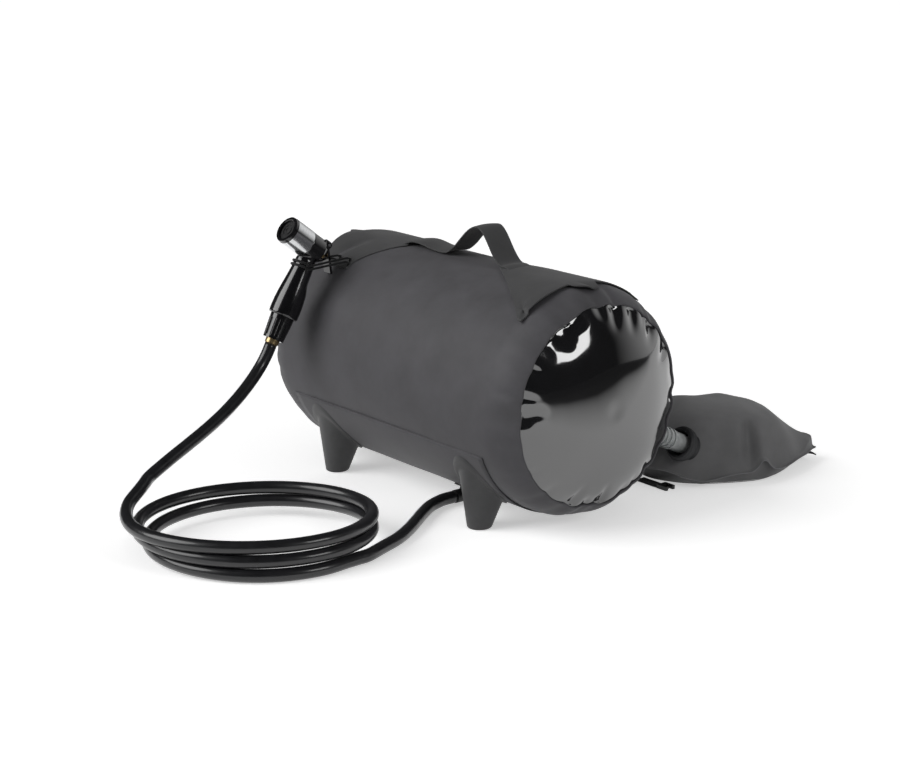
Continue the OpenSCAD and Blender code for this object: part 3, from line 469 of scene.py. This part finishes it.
def endPanel(name, side, bulge, flat, hole, material, slot, node):
    rim = seamR - ends["inset"]
    rows = ends["rows"]
    seat = seamHalf - ends["seat"]

    def place(row, turn):
        share = row / rows
        r = hole + (rim - hole) * (1 - (1 - share) ** ends["crowd"])
        angle = 2 * math.pi * turn
        away = max(0.0, r - flat) / (rim - flat)
        dome = bulge * (1 - away ** ends["dome"])
        pull = puckerAt(side, angle) * smoothStep(0.84, 1.0, away)  # the rim follows the skin's puckers
        dent = tank["drawnBack"] * tank["depth"] * pull
        dent += ends["rimDent"] * puckerAt(side, angle) * bump(away, 0.92, 0.06)
        if side > 0:
            nearRim = smoothStep(0.72, 0.93, away) * smoothStep(1.0, 0.965, away)
            dent += ends["pleat"] * pleatAt(angle) * nearRim
        spot = onSkin(side * seat, angle, r)
        slack = ends["slack"] * ripple(spot, ends["slackSize"], 4.0) * (1 - away) * smoothStep(0, 0.15, away)
        slack += ends["crinkle"] * ripple(spot, ends["crinkleSize"], 7.0) * bump(away, 0.8, 0.13)
        return onSkin(side * (seat + dome - dent + slack), angle, r - tank["depth"] * pull)

    piece = gridPiece(name, rows, tank["around"], place, (rim, 2 * math.pi * rim))
    return dress(piece, material, "tank", slot, node)


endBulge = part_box("window_end_panel")[1][0] - tankX - seamHalf
endPanel("windowPanel", 1, endBulge, 0.0, 0.0, "film", "gloss_film", "window_end_panel")
endPanel("fillPanel", -1, endBulge + 1.0 * mm, 37 * mm, 26.2 * mm, "tank", "coated_fabric", "fill_end_panel")
print("tank and end panels made")

# second layer under the tank, with its welded edge along each side
basePanel = {"half": 168 * mm, "edge": math.radians(111), "offset": 0.9 * mm, "thick": 1.2 * mm, "rows": 40,
             "columns": 72, "edgeDrop": 0.35 * mm, "edgeWide": 0.012, "slack": 0.4 * mm, "slackSize": 0.05}


def basePlace(row, across):
    x = basePanel["half"] * (2 * row / basePanel["rows"] - 1)
    angle = basePanel["edge"] + (2 * math.pi - 2 * basePanel["edge"]) * across
    edge = min(across, 1 - across)
    lift = basePanel["offset"] - basePanel["edgeDrop"] * math.exp(-edge / basePanel["edgeWide"])
    slack = basePanel["slack"] * ripple((x, angle * tankR, 0), basePanel["slackSize"], 1.0)
    return onSkin(x, angle, tankR + lift + slack)


baseSkin = gridPiece("basePanel", basePanel["rows"], basePanel["columns"], basePlace, (0.32, 0.3))
addModifier(baseSkin, "SOLIDIFY", thickness=basePanel["thick"], offset=0)
dress(baseSkin, "tank", "tank", "coated_fabric", "base_panel")

# strap patches, welded along their inner edge and loose towards the ends, where they stand off the shoulders
patch = {"neck": 15, "tongue": 17, "fillet": 8, "thick": 1.3 * mm, "rows": 56, "columns": 96, "underStrap": 9,
         "seat": 1.5, "wave": 1.3, "fold": 3.0, "foldAt": 136, "foldWide": 7,
         1: {"half": 81, "flare": 0.6, "flareFrom": 73, "wide": 186, "cut": 0, "tip": 200, "rise": 3.4},
         -1: {"half": 76, "flare": 1.45, "flareFrom": 86, "wide": 193, "cut": 26, "tip": 204, "rise": 4.6}}


def patchEnds(shape, y):  # where the patch starts and ends along the tank, at a distance from its middle line
    off = abs(y)
    inner = shape["flareFrom"] + max(0, off - patch["neck"]) / shape["flare"]
    inner += patch["underStrap"] * (1 - min(1.0, off / patch["neck"]) ** 3)
    outer = shape["wide"] - shape["cut"] * (off / shape["half"]) ** 2.5
    reach = shape["tip"] - 10 * (off / patch["tongue"]) ** 4 if off < patch["tongue"] else 0
    blend = smoothStep(patch["tongue"] + patch["fillet"], patch["tongue"] - 3, off)
    return inner, outer + (max(reach, outer) - outer) * blend


def makePatch(name, side, node):
    rows, columns = patch["rows"], patch["columns"]
    shape = patch[side]

    def place(row, across):
        t = 2 * across - 1
        y = shape["half"] * math.copysign(abs(t) ** 1.15, t)
        inner, outer = patchEnds(shape, y)
        x = inner + (max(outer, inner + 1.5) - inner) * row / rows
        r = skinR(min(x, 184 + 26 * smoothStep(-10, 16, y)) * mm)
        free = smoothStep(inner + 12, shape["wide"] - 8, x)
        near = smoothStep(14, -24, y)  # only the side towards the camera stands off
        lift = patch["seat"] + shape["rise"] * free * (0.35 + 0.65 * abs(t) ** 2) * (0.12 + 0.88 * near)
        lift += patch["wave"] * free * near * ripple((x * mm, y * mm, side), 0.04, 5.0)
        if side < 0:  # the soft fold that runs down to the front corner
            along = bump(x - 0.35 * abs(y), patch["foldAt"], patch["foldWide"])
            lift -= patch["fold"] * along * smoothStep(20, 45, -y)
        lift -= 0.1 * max(0, x - 186)
        angle = -math.asin(max(-0.95, min(0.95, y * mm / r)))
        return onSkin(side * x * mm, angle, r + lift * mm)

    piece = gridPiece(name, rows, columns, place, (0.14, 0.16))
    addModifier(piece, "SOLIDIFY", thickness=patch["thick"], offset=0)
    dress(piece, "strap", "tank", "strap_fabric", node)
    return piece


makePatch("rightPatch", 1, "right_patch")
makePatch("leftPatch", -1, "left_patch")

# carrying strap with its arch
strap = {"half": 16 * mm, "thick": 1.7 * mm, "end": 106 * mm, "arch": 37 * mm, "top": 35 * mm,
         "left": 60 * mm, "right": 42 * mm, "seat": 3.1 * mm, "rows": 120, "columns": 10, "slack": 4.2 * mm,
         "slackAt": -72 * mm, "slackLong": 24 * mm, "tuck": 3.4 * mm, "crinkle": 0.6 * mm, "cup": 1.2 * mm}


def archRise(x):
    t = (strap["top"] - x) / strap["left"] if x < strap["top"] else (x - strap["top"]) / strap["right"]
    return strap["arch"] * (0 if t >= 1 else (1 + math.cos(math.pi * t)) / 2)


def strapPlace(row, across):
    x = strap["end"] * (2 * row / strap["rows"] - 1)
    rise = archRise(x)
    y = strap["half"] * (2 * across - 1)
    slack = strap["slack"] * bump(x, strap["slackAt"], strap["slackLong"])
    slack += strap["crinkle"] * ripple((x, y, 0), 0.03, 6.0)
    slack -= strap["tuck"] * smoothStep(80 * mm, 98 * mm, abs(x))  # the end runs in under the patch
    curl = (y ** 2 / (2 * tankR)) * (1 - min(1.0, rise / (8 * mm)))
    cup = strap["cup"] * (2 * across - 1) ** 2 * min(1.0, rise / (12 * mm))
    return Vector((tankX + x, tankY + y, tankZ + tankR + strap["seat"] + rise + slack - curl - cup))


strapPiece = gridPiece("carryStrap", strap["rows"], strap["columns"], strapPlace, (0.25, 0.032))
addModifier(strapPiece, "SOLIDIFY", thickness=strap["thick"], offset=0)
addModifier(strapPiece, "BEVEL", width=0.5 * mm, segments=2, limit_method="ANGLE")
dress(strapPiece, "strap", "tank", "strap_fabric", "carry_strap")
print("strap and patches made")

# moulded feet: leaning cones with a thin flange welded to the panel
foot = {"x": 129 * mm, "y": 89 * mm, "r": 13 * mm, "lean": math.radians(9),
        "taper": math.tan(math.radians(15)), "rim": 5 * mm, "flange": 1.8 * mm, "round": 2.4 * mm,
        "fillet": 2.5 * mm, "filletOut": 2.0 * mm, "around": 96}
footRows = {"sole": 6, "side": 16, "fillet": 21, "all": 24}  # the last row of each part, from the ground up
overPanel = tankR + basePanel["offset"] + basePanel["thick"] / 2


def makeFoot(name, sideX, sideY, node):
    root = Vector((tankX + sideX * foot["x"], tankY + sideY * foot["y"], 0))
    axis = Vector((0, -sideY * math.sin(foot["lean"]), math.cos(foot["lean"])))
    across = Vector((0, math.cos(foot["lean"]), sideY * math.sin(foot["lean"])))

    def side(up, angle, grow=0.0):
        out = math.cos(angle) * Vector((1, 0, 0)) + math.sin(angle) * across
        return root + up * axis + (foot["r"] + grow + up * foot["taper"]) * out

    def meet(angle, grow, radius):  # where a side line reaches that distance from the tank's axis
        low, high = 0.0, 0.12
        for _ in range(30):
            half = (low + high) / 2
            spot = side(half, angle, grow)
            if math.hypot(spot.y - tankY, spot.z - tankZ) > radius:
                low = half
            else:
                high = half
        return side(low, angle, grow), low

    def curve(a, b, c, t):
        return a * (1 - t) ** 2 + b * 2 * t * (1 - t) + c * t * t

    def place(row, turn):
        angle = 2 * math.pi * turn
        lean = math.sin(angle) * across.z
        ground = -foot["r"] * lean / (axis.z + foot["taper"] * lean)
        edge = side(ground, angle)
        inset = edge + (root - edge).normalized() * foot["round"]
        if row == 0:
            return root
        if row <= footRows["sole"]:
            return curve(inset, edge, side(ground + foot["round"], angle), (row - 1) / (footRows["sole"] - 1))
        face = overPanel + foot["flange"]
        top, high = meet(angle, 0, face)
        below = high - foot["fillet"]
        if row <= footRows["side"]:
            share = (row - footRows["sole"]) / (footRows["side"] - footRows["sole"])
            return side(ground + foot["round"] + (below - ground - foot["round"]) * share, angle)
        if row <= footRows["fillet"]:
            share = (row - footRows["side"]) / (footRows["fillet"] - footRows["side"])
            return curve(side(below, angle), top, meet(angle, foot["filletOut"], face)[0], share)
        flangeEdge = [(foot["rim"] - 0.4 * mm, face), (foot["rim"], face - 0.5 * mm),
                      (foot["rim"], overPanel)]
        grow, radius = flangeEdge[row - footRows["fillet"] - 1]
        return meet(angle, grow, radius)[0]

    piece = gridPiece(name, footRows["all"], foot["around"], place)
    return dress(piece, "foot", "tank", "moulded_foot", node)


makeFoot("footFrontLeft", -1, -1, "foot_front_left")
makeFoot("footFrontRight", 1, -1, "foot_front_right")
makeFoot("footRearLeft", -1, 1, "foot_rear_left")
print("feet made")

# holster: a welded tab and two elastic loops round the handle
grip = {"x": -142, "y": -164.854, "z": 164.496, "lean": math.radians(29)}


def inGrip(x, y, z):  # from the sprayer's own axes, mm
    c, s = math.cos(grip["lean"]), math.sin(grip["lean"])
    return inTank(grip["x"] + x, grip["y"] + y * c + z * s, grip["z"] - y * s + z * c)


holster = {"angle": math.radians(34), "x": -137 * mm, "half": 16 * mm, "deep": 7 * mm, "thick": 2.4 * mm,
           "cord": 2.6 * mm, "row": 3.0 * mm, "rows": 20, "columns": 10, "seat": 1.4 * mm,
           "crinkle": 0.25 * mm, "cordFrom": (2.0, 7.5), "cordStep": 1.6 * mm, "turnStep": 20}


def tabPlace(row, across):
    x = holster["x"] + holster["half"] * (2 * row / holster["rows"] - 1)
    angle = holster["angle"] + holster["deep"] / tankR * (2 * across - 1)
    crinkle = holster["crinkle"] * ripple((x, angle, 0), 0.006, 3.0)
    return onSkin(x, angle, tankR + holster["seat"] + crinkle)


tabPiece = gridPiece("holsterTab", holster["rows"], holster["columns"], tabPlace, (0.032, 0.014))
addModifier(tabPiece, "SOLIDIFY", thickness=holster["thick"] - 0.6 * mm, offset=0)
addModifier(tabPiece, "BEVEL", width=0.5 * mm, segments=2, limit_method="ANGLE")
dress(tabPiece, "strap", "tank", "strap_fabric", "holster_tab")


def makeLoop(name, height, reach, spread, row, node):
    aside = row * Vector((0, math.cos(holster["angle"]), math.sin(holster["angle"])))
    feet = [[onSkin(holster["x"] + side * spread * mm, holster["angle"], tankR + lift * mm) + aside
             for lift in holster["cordFrom"]] for side in (1, -1)]
    turn = [inGrip(reach * math.cos(math.radians(a)), -reach * math.sin(math.radians(a)), height)
            for a in range(0, 181, holster["turnStep"])]
    line = smoothLine(feet[0] + turn + feet[1][::-1], holster["cordStep"])
    return dress(tubePiece(name, line, holster["cord"], 12), "elastic", "tank", "elastic", node)


makeLoop("holsterLoopUpper", 91.5, 13.2, 9.6, holster["row"], "holster_cord_upper")
makeLoop("holsterLoopLower", 87, 13.5, 13, -holster["row"], "holster_cord_lower")
print("holster made")

# pump: a soft foam-filled bag with a welded edge, blunt by the tank and drawn to a corner at the far end
pump = {"x": 146, "y": 276.326, "yaw": math.radians(66.5), "near": 131, "far": 104, "half": 78, "taper": 1.8,
        "drop": 0.55, "middle": -8, "floor": 1.2, "around": 200, "rowStep": 4.5}
# the bag's folds: how high or deep, where along the pump, how wide, all in mm
folds = {"dip": (6, 74, 22), "crownNear": (3.5, -62, 26), "crownFar": (3.0, 36, 16), "tip": (8, 101, 13),
         "weldUp": (15, 9, 8.5), "weldDown": (9, -60, 27), "creaseIn": (13, -2, 9), "creaseDown": (4, -2, 9),
         "slope": (6, -36, 32)}


def inPump(u, v, z):
    c, s = math.cos(pump["yaw"]), math.sin(pump["yaw"])
    return inTank(pump["x"] + u * c - v * s, pump["y"] + u * s + v * c, z)


def pumpEdge(angle):
    u = math.cos(angle) * (pump["near"] if math.cos(angle) < 0 else pump["far"])
    if u < 0:
        half = pump["half"] * max(0.0, 1 - (-u / pump["near"]) ** 2.5) ** 0.4
    else:
        half = pump["half"] * max(0.0, 1 - (u / pump["far"]) ** pump["taper"])
    return u, math.copysign(half, math.sin(angle)) if abs(math.sin(angle)) > 1e-9 else 0.0


def pumpFall(u):
    return 1 - pump["drop"] * max(0.0, u / pump["far"]) ** 1.5


# share of the outline and height in mm: the floor, the welded lip, then the cover up to its crown
pumpCover = [(1.0, 17.7), (0.982, 25), (0.95, 37), (0.88, 56), (0.71, 71.2), (0.43, 78.2), (0.2, 79.6),
             (0.0, 80)]
pumpUnder = [(0.0, 1.2), (0.3, 1.2), (0.6, 1.2), (0.78, 1.2), (0.84, 1.6), (0.89, 4.0), (0.945, 9.0),
             (0.985, 13.5), (1.0, 15.6), (1.025, 15.9), (1.04, 16.1), (1.04, 17.2), (1.025, 17.4)]
coverLine = smoothLine([Vector((share * pump["half"], z, 0)) for share, z in pumpCover], pump["rowStep"])
pumpRows = pumpUnder + [(point.x / pump["half"], point.y) for point in coverLine]
pumpLip = (10,)


def pumpLift(u):  # the far end stands a little off the ground
    return 7 * smoothStep(25, 95, u)


def fold(name, u):
    size, middle, width = folds[name]
    return size * bump(u, middle, width)


def pumpPlace(row, turn):
    share, height = pumpRows[row]
    angle = 2 * math.pi * turn
    edgeU, edgeV = pumpEdge(angle)
    u = pump["middle"] + (edgeU - pump["middle"]) * share
    v = edgeV * share
    z = pump["floor"] + (height - pump["floor"]) * pumpFall(u)
    cover = smoothStep(16, 36, height)
    weld = bump(share, 1.0, 0.09) * smoothStep(3, 12, height)
    z += pumpLift(u) * (1 - 0.9 * smoothStep(20, 60, height)) - fold("dip", u) * cover
    crown = smoothStep(58, 74, height)
    z += (fold("crownNear", u) + fold("crownFar", u)) * crown + fold("tip", u) * smoothStep(17.6, 26, height)
    if edgeV < 0:  # the side towards the camera: an upright crease, with the weld drawn up beside it
        v *= 0.95
        z += (fold("weldUp", u) - fold("weldDown", u) + 6 * smoothStep(-84, -114, u)) * weld
        crease = bump(share, 0.87, 0.15) * cover
        v += fold("creaseIn", u) * crease + fold("slope", u) * bump(share, 0.92, 0.1) * cover
        z -= fold("creaseDown", u) * crease
    wrinkle = 1.6 * ripple((u * mm, v * mm, 0), 0.03, 8.0) + 2.4 * ripple((u * mm, v * mm, 0), 0.07, 9.0)
    z += wrinkle * cover * (1 - 0.5 * bump(share, 0.3, 0.3))
    wave = 1.1 * math.sin(13 * angle + 1.0) * bump(share, 0.99, 0.06) * smoothStep(4, 12, height)
    return inPump(u, v, max(pump["floor"], z + wave))


pumpBag = gridPiece("pumpBag", len(pumpRows) - 1, pump["around"], pumpPlace, (0.3, 0.55), pumpLip)
addModifier(pumpBag, "SUBSURF", levels=1, render_levels=1)
dress(pumpBag, "pump", None, "coated_fabric", "pump_bag", "pump_top_panel")
pumpBag.data.materials.append(finish["cutEdge"])  # the pale cut edge of the weld
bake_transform(pumpBag)


# floor panel: share of the outline and height in mm
floorRows = [(0.0, 0.0), (0.4, 0.0), (0.76, 0.0), (0.78, 0.4), (0.78, 1.1)]


def pumpFloorPlace(row, turn):
    u, v = pumpEdge(2 * math.pi * turn)
    share, z = floorRows[row]
    u = pump["middle"] + (u - pump["middle"]) * share
    return inPump(u, v * share, z + pumpLift(u))


pumpFloor = gridPiece("pumpFloorPanel", len(floorRows) - 1, pump["around"], pumpFloorPlace)
dress(pumpFloor, "pump", "tank", "coated_fabric", "pump_base")


# foam block: share of its outline and height in mm, from its foot to its top
foam = {"u": 6, "long": 0.46, "wide": 0.58, "around": 64, "keep": 0.6,
        "rows": [(0, 3.2), (0.9, 3.2), (1.0, 5), (1.0, 44), (0.9, 47), (0, 48)]}


def foamPlace(row, turn):
    share, z = foam["rows"][row]
    u, v = pumpEdge(2 * math.pi * turn)
    return inPump(foam["u"] + foam["long"] * u * share, foam["wide"] * v * share, z)


foamBlock = gridPiece("pumpFoam", len(foam["rows"]) - 1, foam["around"], foamPlace)
dress(foamBlock, "foam", "tank", "pump_sponge", "pump_foam")
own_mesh(foamBlock)


# webbing tail by the pump's near corner, and the tab on its far corner
web = {"rows": 24, "columns": 10, "tuck": 12 * mm, "crinkle": 0.2 * mm}


def webPiece(name, node, slot, tuck):  # the start is tucked under the bag
    low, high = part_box(node)

    def place(row, across):
        x = low[0] - tuck + (high[0] - low[0] + tuck) * row / web["rows"]
        y = low[1] + (high[1] - low[1]) * across
        return Vector((x, y, (low[2] + high[2]) / 2 + web["crinkle"] * ripple((x, y, 0), 0.006, 2.0)))

    piece = gridPiece(name, web["rows"], web["columns"], place, (0.02, 0.014))
    addModifier(piece, "SOLIDIFY", thickness=high[2] - low[2] - 0.4 * mm, offset=0)
    return dress(piece, "webbing", "tank", slot, node)


webPiece("pumpWebbing", "pump_web_strap", "strap_fabric", web["tuck"])


corner = {"u": 91, "long": 12, "v": -8, "half": 4.6, "z": 12, "drop": 3.0, "rows": 12, "columns": 8}


def cornerPlace(row, across):
    t = row / corner["rows"]
    v = corner["v"] + corner["half"] * (2 * across - 1)
    return inPump(corner["u"] + corner["long"] * t, v, corner["z"] - corner["drop"] * t ** 2)


cornerTab = gridPiece("pumpCornerTab", corner["rows"], corner["columns"], cornerPlace, (0.012, 0.014))
addModifier(cornerTab, "SOLIDIFY", thickness=1.4 * mm, offset=0)
dress(cornerTab, "webbing", "tank", "strap_fabric", "pump_corner_tab")
print("pump made")

# sprayer body: the part's own solid, with its moulded edges softened
sprayer = {"voxel": 0.75 * mm, "smooth": 8, "swell": 3.0, "swellAt": 40, "swellLong": 34, "skinFrom": 8.5,
           "neck": 96, "leverFrom": 72, "leverFull": 58, "palmFrom": 9, "palmFull": 2}
body = bpy.data.objects.new("sprayerShell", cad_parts["sprayer_body"].data.copy())
bpy.context.scene.collection.objects.link(body)
tidyMesh(body, 0.00002)
addModifier(body, "REMESH", mode="VOXEL", voxel_size=sprayer["voxel"])
addModifier(body, "SMOOTH", factor=0.5, iterations=sprayer["smooth"])
tidyMesh(body, 0.000001)
for vertex in body.data.vertices:  # the handle is fuller towards the palm than the turned solid
    y, z = (vertex.co.y - tankY) / mm - grip["y"], vertex.co.z / mm - grip["z"]
    x, up = (vertex.co.x - tankX) / mm - grip["x"], y * math.sin(grip["lean"]) + z * math.cos(grip["lean"])
    y = y * math.cos(grip["lean"]) - z * math.sin(grip["lean"])
    r = math.hypot(x, y)
    if r > sprayer["skinFrom"] and up < sprayer["neck"]:
        palm = max(smoothStep(sprayer["palmFrom"], sprayer["palmFull"], y),  # the lever's side stays slim
                   smoothStep(sprayer["leverFrom"], sprayer["leverFull"], up))
        swell = sprayer["swell"] * palm * bump(up, sprayer["swellAt"], sprayer["swellLong"])
        vertex.co += swell / r * (inGrip(x, y, 0) - inGrip(0, 0, 0))
dress(body, "sprayer", "sprayer", "sprayer_black", "sprayer_body")
print("sprayer made,", len(body.data.polygons), "faces")

# valve spring: the part's own wire, kept at the length it has in the part
stem = {"way": Vector((0, -0.798636, 0.601815)), "travel": 6.4 * mm}
spring = bpy.data.objects.new("valveSpringWire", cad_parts["valve_spring"].data.copy())
bpy.context.scene.collection.objects.link(spring)
tidyMesh(spring, 0.000001)
springPoints = sorted((vertex.co.copy() for vertex in spring.data.vertices), key=stem["way"].dot)
dress(spring, "steel", "sprayer", "pin_steel", "valve_spring")
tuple(springPoints[-1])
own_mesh(spring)

# the solids that keep their own shape take their finish here
cadFinish = {
    "foot_rear_right": "foot", "fill_neck": "black", "fill_cap": "black", "cap_seal": "rubber",
    "outlet_elbow": "black", "outlet_nut": "black", "inlet_valve": "black", "inlet_flap": "rubber",
    "air_connector": "clear", "outlet_port": "rubber", "intake_collar": "rubber", "intake_flap": "rubber",
    "pump_buckle": "black", "chrome_sleeve": "chrome", "spray_bezel": "sprayer", "spray_face": "black",
    "lever_pin": "steel", "thumb_lever": "sprayer", "valve_stem": "brass", "valve_seat": "rubber",
    "collar_nut": "sprayer", "hose_ferrule": "brass", "hose_washer": "rubber",
}
for node, material in cadFinish.items():
    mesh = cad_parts[node].data
    mesh.materials.clear()
    mesh.materials.append(finish[material])
print("finishes given to", len(cadFinish), "solids")

# floor and light: a pale floor to the horizon, a broad soft key from the front, a window that the film
# mirrors, and a room that is dark in the gloss but for one side
studio = {"floor": 60, "floorColour": "#f7f7f7", "floorGlow": 0.45, "world": 0.3, "roomDark": 0.03,
          "bounce": 0.4, "side": 0.8, "sideFrom": 0.7, "sideTo": 0.96, "sun": 1.9, "sunSpread": 45,
          "sunWay": (-0.45, -1.0, 0.75), "window": 11.0, "windowWay": (0.85, 0.2, 0.47), "windowAway": 2.4,
          "windowSize": (0.9, 0.7), "mirrorFrom": 0.3, "mirrorTo": 1.12, "mirrorDark": 0.04}
# where the white floor ends in the film's mirror: bearing in degrees, and one over the distance in metres
paperEnds = [(-25, 0.0), (-15.4, 0.228), (-5.7, 0.658), (7.1, 0.909), (20.6, 0.99), (31.7, 1.0),
             (40.2, 0.873), (47.9, 0.592), (59.1, 0.315), (72, 0.056), (85, 0.0)]
bpy.ops.object.select_all(action="DESELECT")
bpy.ops.mesh.primitive_plane_add(size=studio["floor"], location=(0, 0, 0))
floor = bpy.context.object
floor.name = "floor"
floorMaterial, floorTree, floorShader = newMaterial("paleFloor", {"Roughness": 0.9, "Specular IOR Level": 0.1,
                                                   "Emission Color": (1, 1, 1, 1)})
rays = addNode(floorTree, "ShaderNodeLightPath")
spot = addNode(floorTree, "ShaderNodeTexCoord")
fromFilm = addNode(floorTree, "ShaderNodeVectorMath",
                   {"operation": "SUBTRACT", 1: (tankX + seamHalf, tankY, 0)}, {0: spot.outputs["Object"]})
axes = addNode(floorTree, "ShaderNodeSeparateXYZ", {}, {0: fromFilm.outputs["Vector"]})
bearing = addNode(floorTree, "ShaderNodeMath", {"operation": "ARCTAN2"},
                  {0: axes.outputs["Y"], 1: axes.outputs["X"]})
first, last = paperEnds[0][0], paperEnds[-1][0]
bearingShare = addNode(floorTree, "ShaderNodeMapRange",
                       {"From Min": math.radians(first), "From Max": math.radians(last)},
                       {"Value": bearing.outputs["Value"]})
paper = addNode(floorTree, "ShaderNodeValToRGB", {}, {"Fac": bearingShare.outputs["Result"]})
setRamp(paper, [((angle - first) / (last - first), (value, value, value, 1)) for angle, value in paperEnds])
away = addNode(floorTree, "ShaderNodeVectorMath", {"operation": "LENGTH"}, {0: fromFilm.outputs["Vector"]})
reach = addNode(floorTree, "ShaderNodeMath", {"operation": "MULTIPLY"},
                {0: away.outputs["Value"], 1: paper.outputs["Color"]})
nearShare = addNode(floorTree, "ShaderNodeMapRange",
                    {"From Min": studio["mirrorFrom"], "From Max": studio["mirrorTo"], "To Min": 1.0,
                     "To Max": studio["mirrorDark"]}, {"Value": reach.outputs["Value"]})
bounced = addNode(floorTree, "ShaderNodeMix", {2: 1.0, 3: studio["bounce"]},
                  {0: rays.outputs["Is Diffuse Ray"]})
shade = addNode(floorTree, "ShaderNodeMix", {},
                {0: rays.outputs["Is Glossy Ray"], 2: bounced.outputs[0], 3: nearShare.outputs["Result"]})
colour = addNode(floorTree, "ShaderNodeMix",
                 {"data_type": "RGBA", 6: (0, 0, 0, 1), 7: linear(studio["floorColour"])},
                 {0: shade.outputs[0]})
floorTree.links.new(colour.outputs[2], floorShader.inputs["Base Color"])
seen = addNode(floorTree, "ShaderNodeMath", {"operation": "MAXIMUM"},
               {0: rays.outputs["Is Camera Ray"], 1: rays.outputs["Is Glossy Ray"]})
seenThrough = addNode(floorTree, "ShaderNodeMath", {"operation": "MAXIMUM"},
                      {0: seen.outputs["Value"], 1: rays.outputs["Is Transmission Ray"]})
glowShare = addNode(floorTree, "ShaderNodeMath", {"operation": "MULTIPLY"},
                    {0: seenThrough.outputs["Value"], 1: shade.outputs[0]})
glow = addNode(floorTree, "ShaderNodeMath", {"operation": "MULTIPLY", 1: studio["floorGlow"]},
               {0: glowShare.outputs["Value"]})
floorTree.links.new(glow.outputs["Value"], floorShader.inputs["Emission Strength"])
floor.data.materials.append(floorMaterial)

world = bpy.data.worlds.new("studio")
bpy.context.scene.world = world
world.use_nodes = True
sky = world.node_tree
way = addNode(sky, "ShaderNodeTexCoord")
toSide = addNode(sky, "ShaderNodeVectorMath", {"operation": "DOT_PRODUCT", 1: (0.0, 1.0, 0.0)},
                 {0: way.outputs["Generated"]})
mirrored = addNode(sky, "ShaderNodeMapRange",
                   {"From Min": studio["sideFrom"], "From Max": studio["sideTo"],
                    "To Min": studio["roomDark"], "To Max": studio["side"]},
                   {"Value": toSide.outputs["Value"]})
skyRays = addNode(sky, "ShaderNodeLightPath")
level = addNode(sky, "ShaderNodeMix", {2: studio["world"]},
                {0: skyRays.outputs["Is Glossy Ray"], 3: mirrored.outputs["Result"]})
sky.nodes["Background"].inputs["Color"].default_value = (1, 1, 1, 1)
sky.links.new(level.outputs[0], sky.nodes["Background"].inputs["Strength"])


def lamp(name, kind, place, aim, power, size):
    bpy.ops.object.select_all(action="DESELECT")
    bpy.ops.object.light_add(type=kind, location=place)
    made = bpy.context.object
    made.name = name
    made.rotation_euler = (Vector(aim) - Vector(place)).to_track_quat("-Z", "Y").to_euler()
    made.data.energy = power
    if kind == "SUN":
        made.data.angle = math.radians(size)
    else:
        made.data.shape = "RECTANGLE"
        made.data.size, made.data.size_y = size
    return made


middle = Vector((tankX, tankY, tankZ))
lamp("keySun", "SUN", middle + Vector(studio["sunWay"]), middle, studio["sun"], studio["sunSpread"])
window = middle + Vector((seamHalf, 0, 0))
lamp("windowBox", "AREA", window + studio["windowAway"] * Vector(studio["windowWay"]), window,
     studio["window"], studio["windowSize"])
bpy.context.scene.view_settings.view_transform = "Standard"
print("studio set")
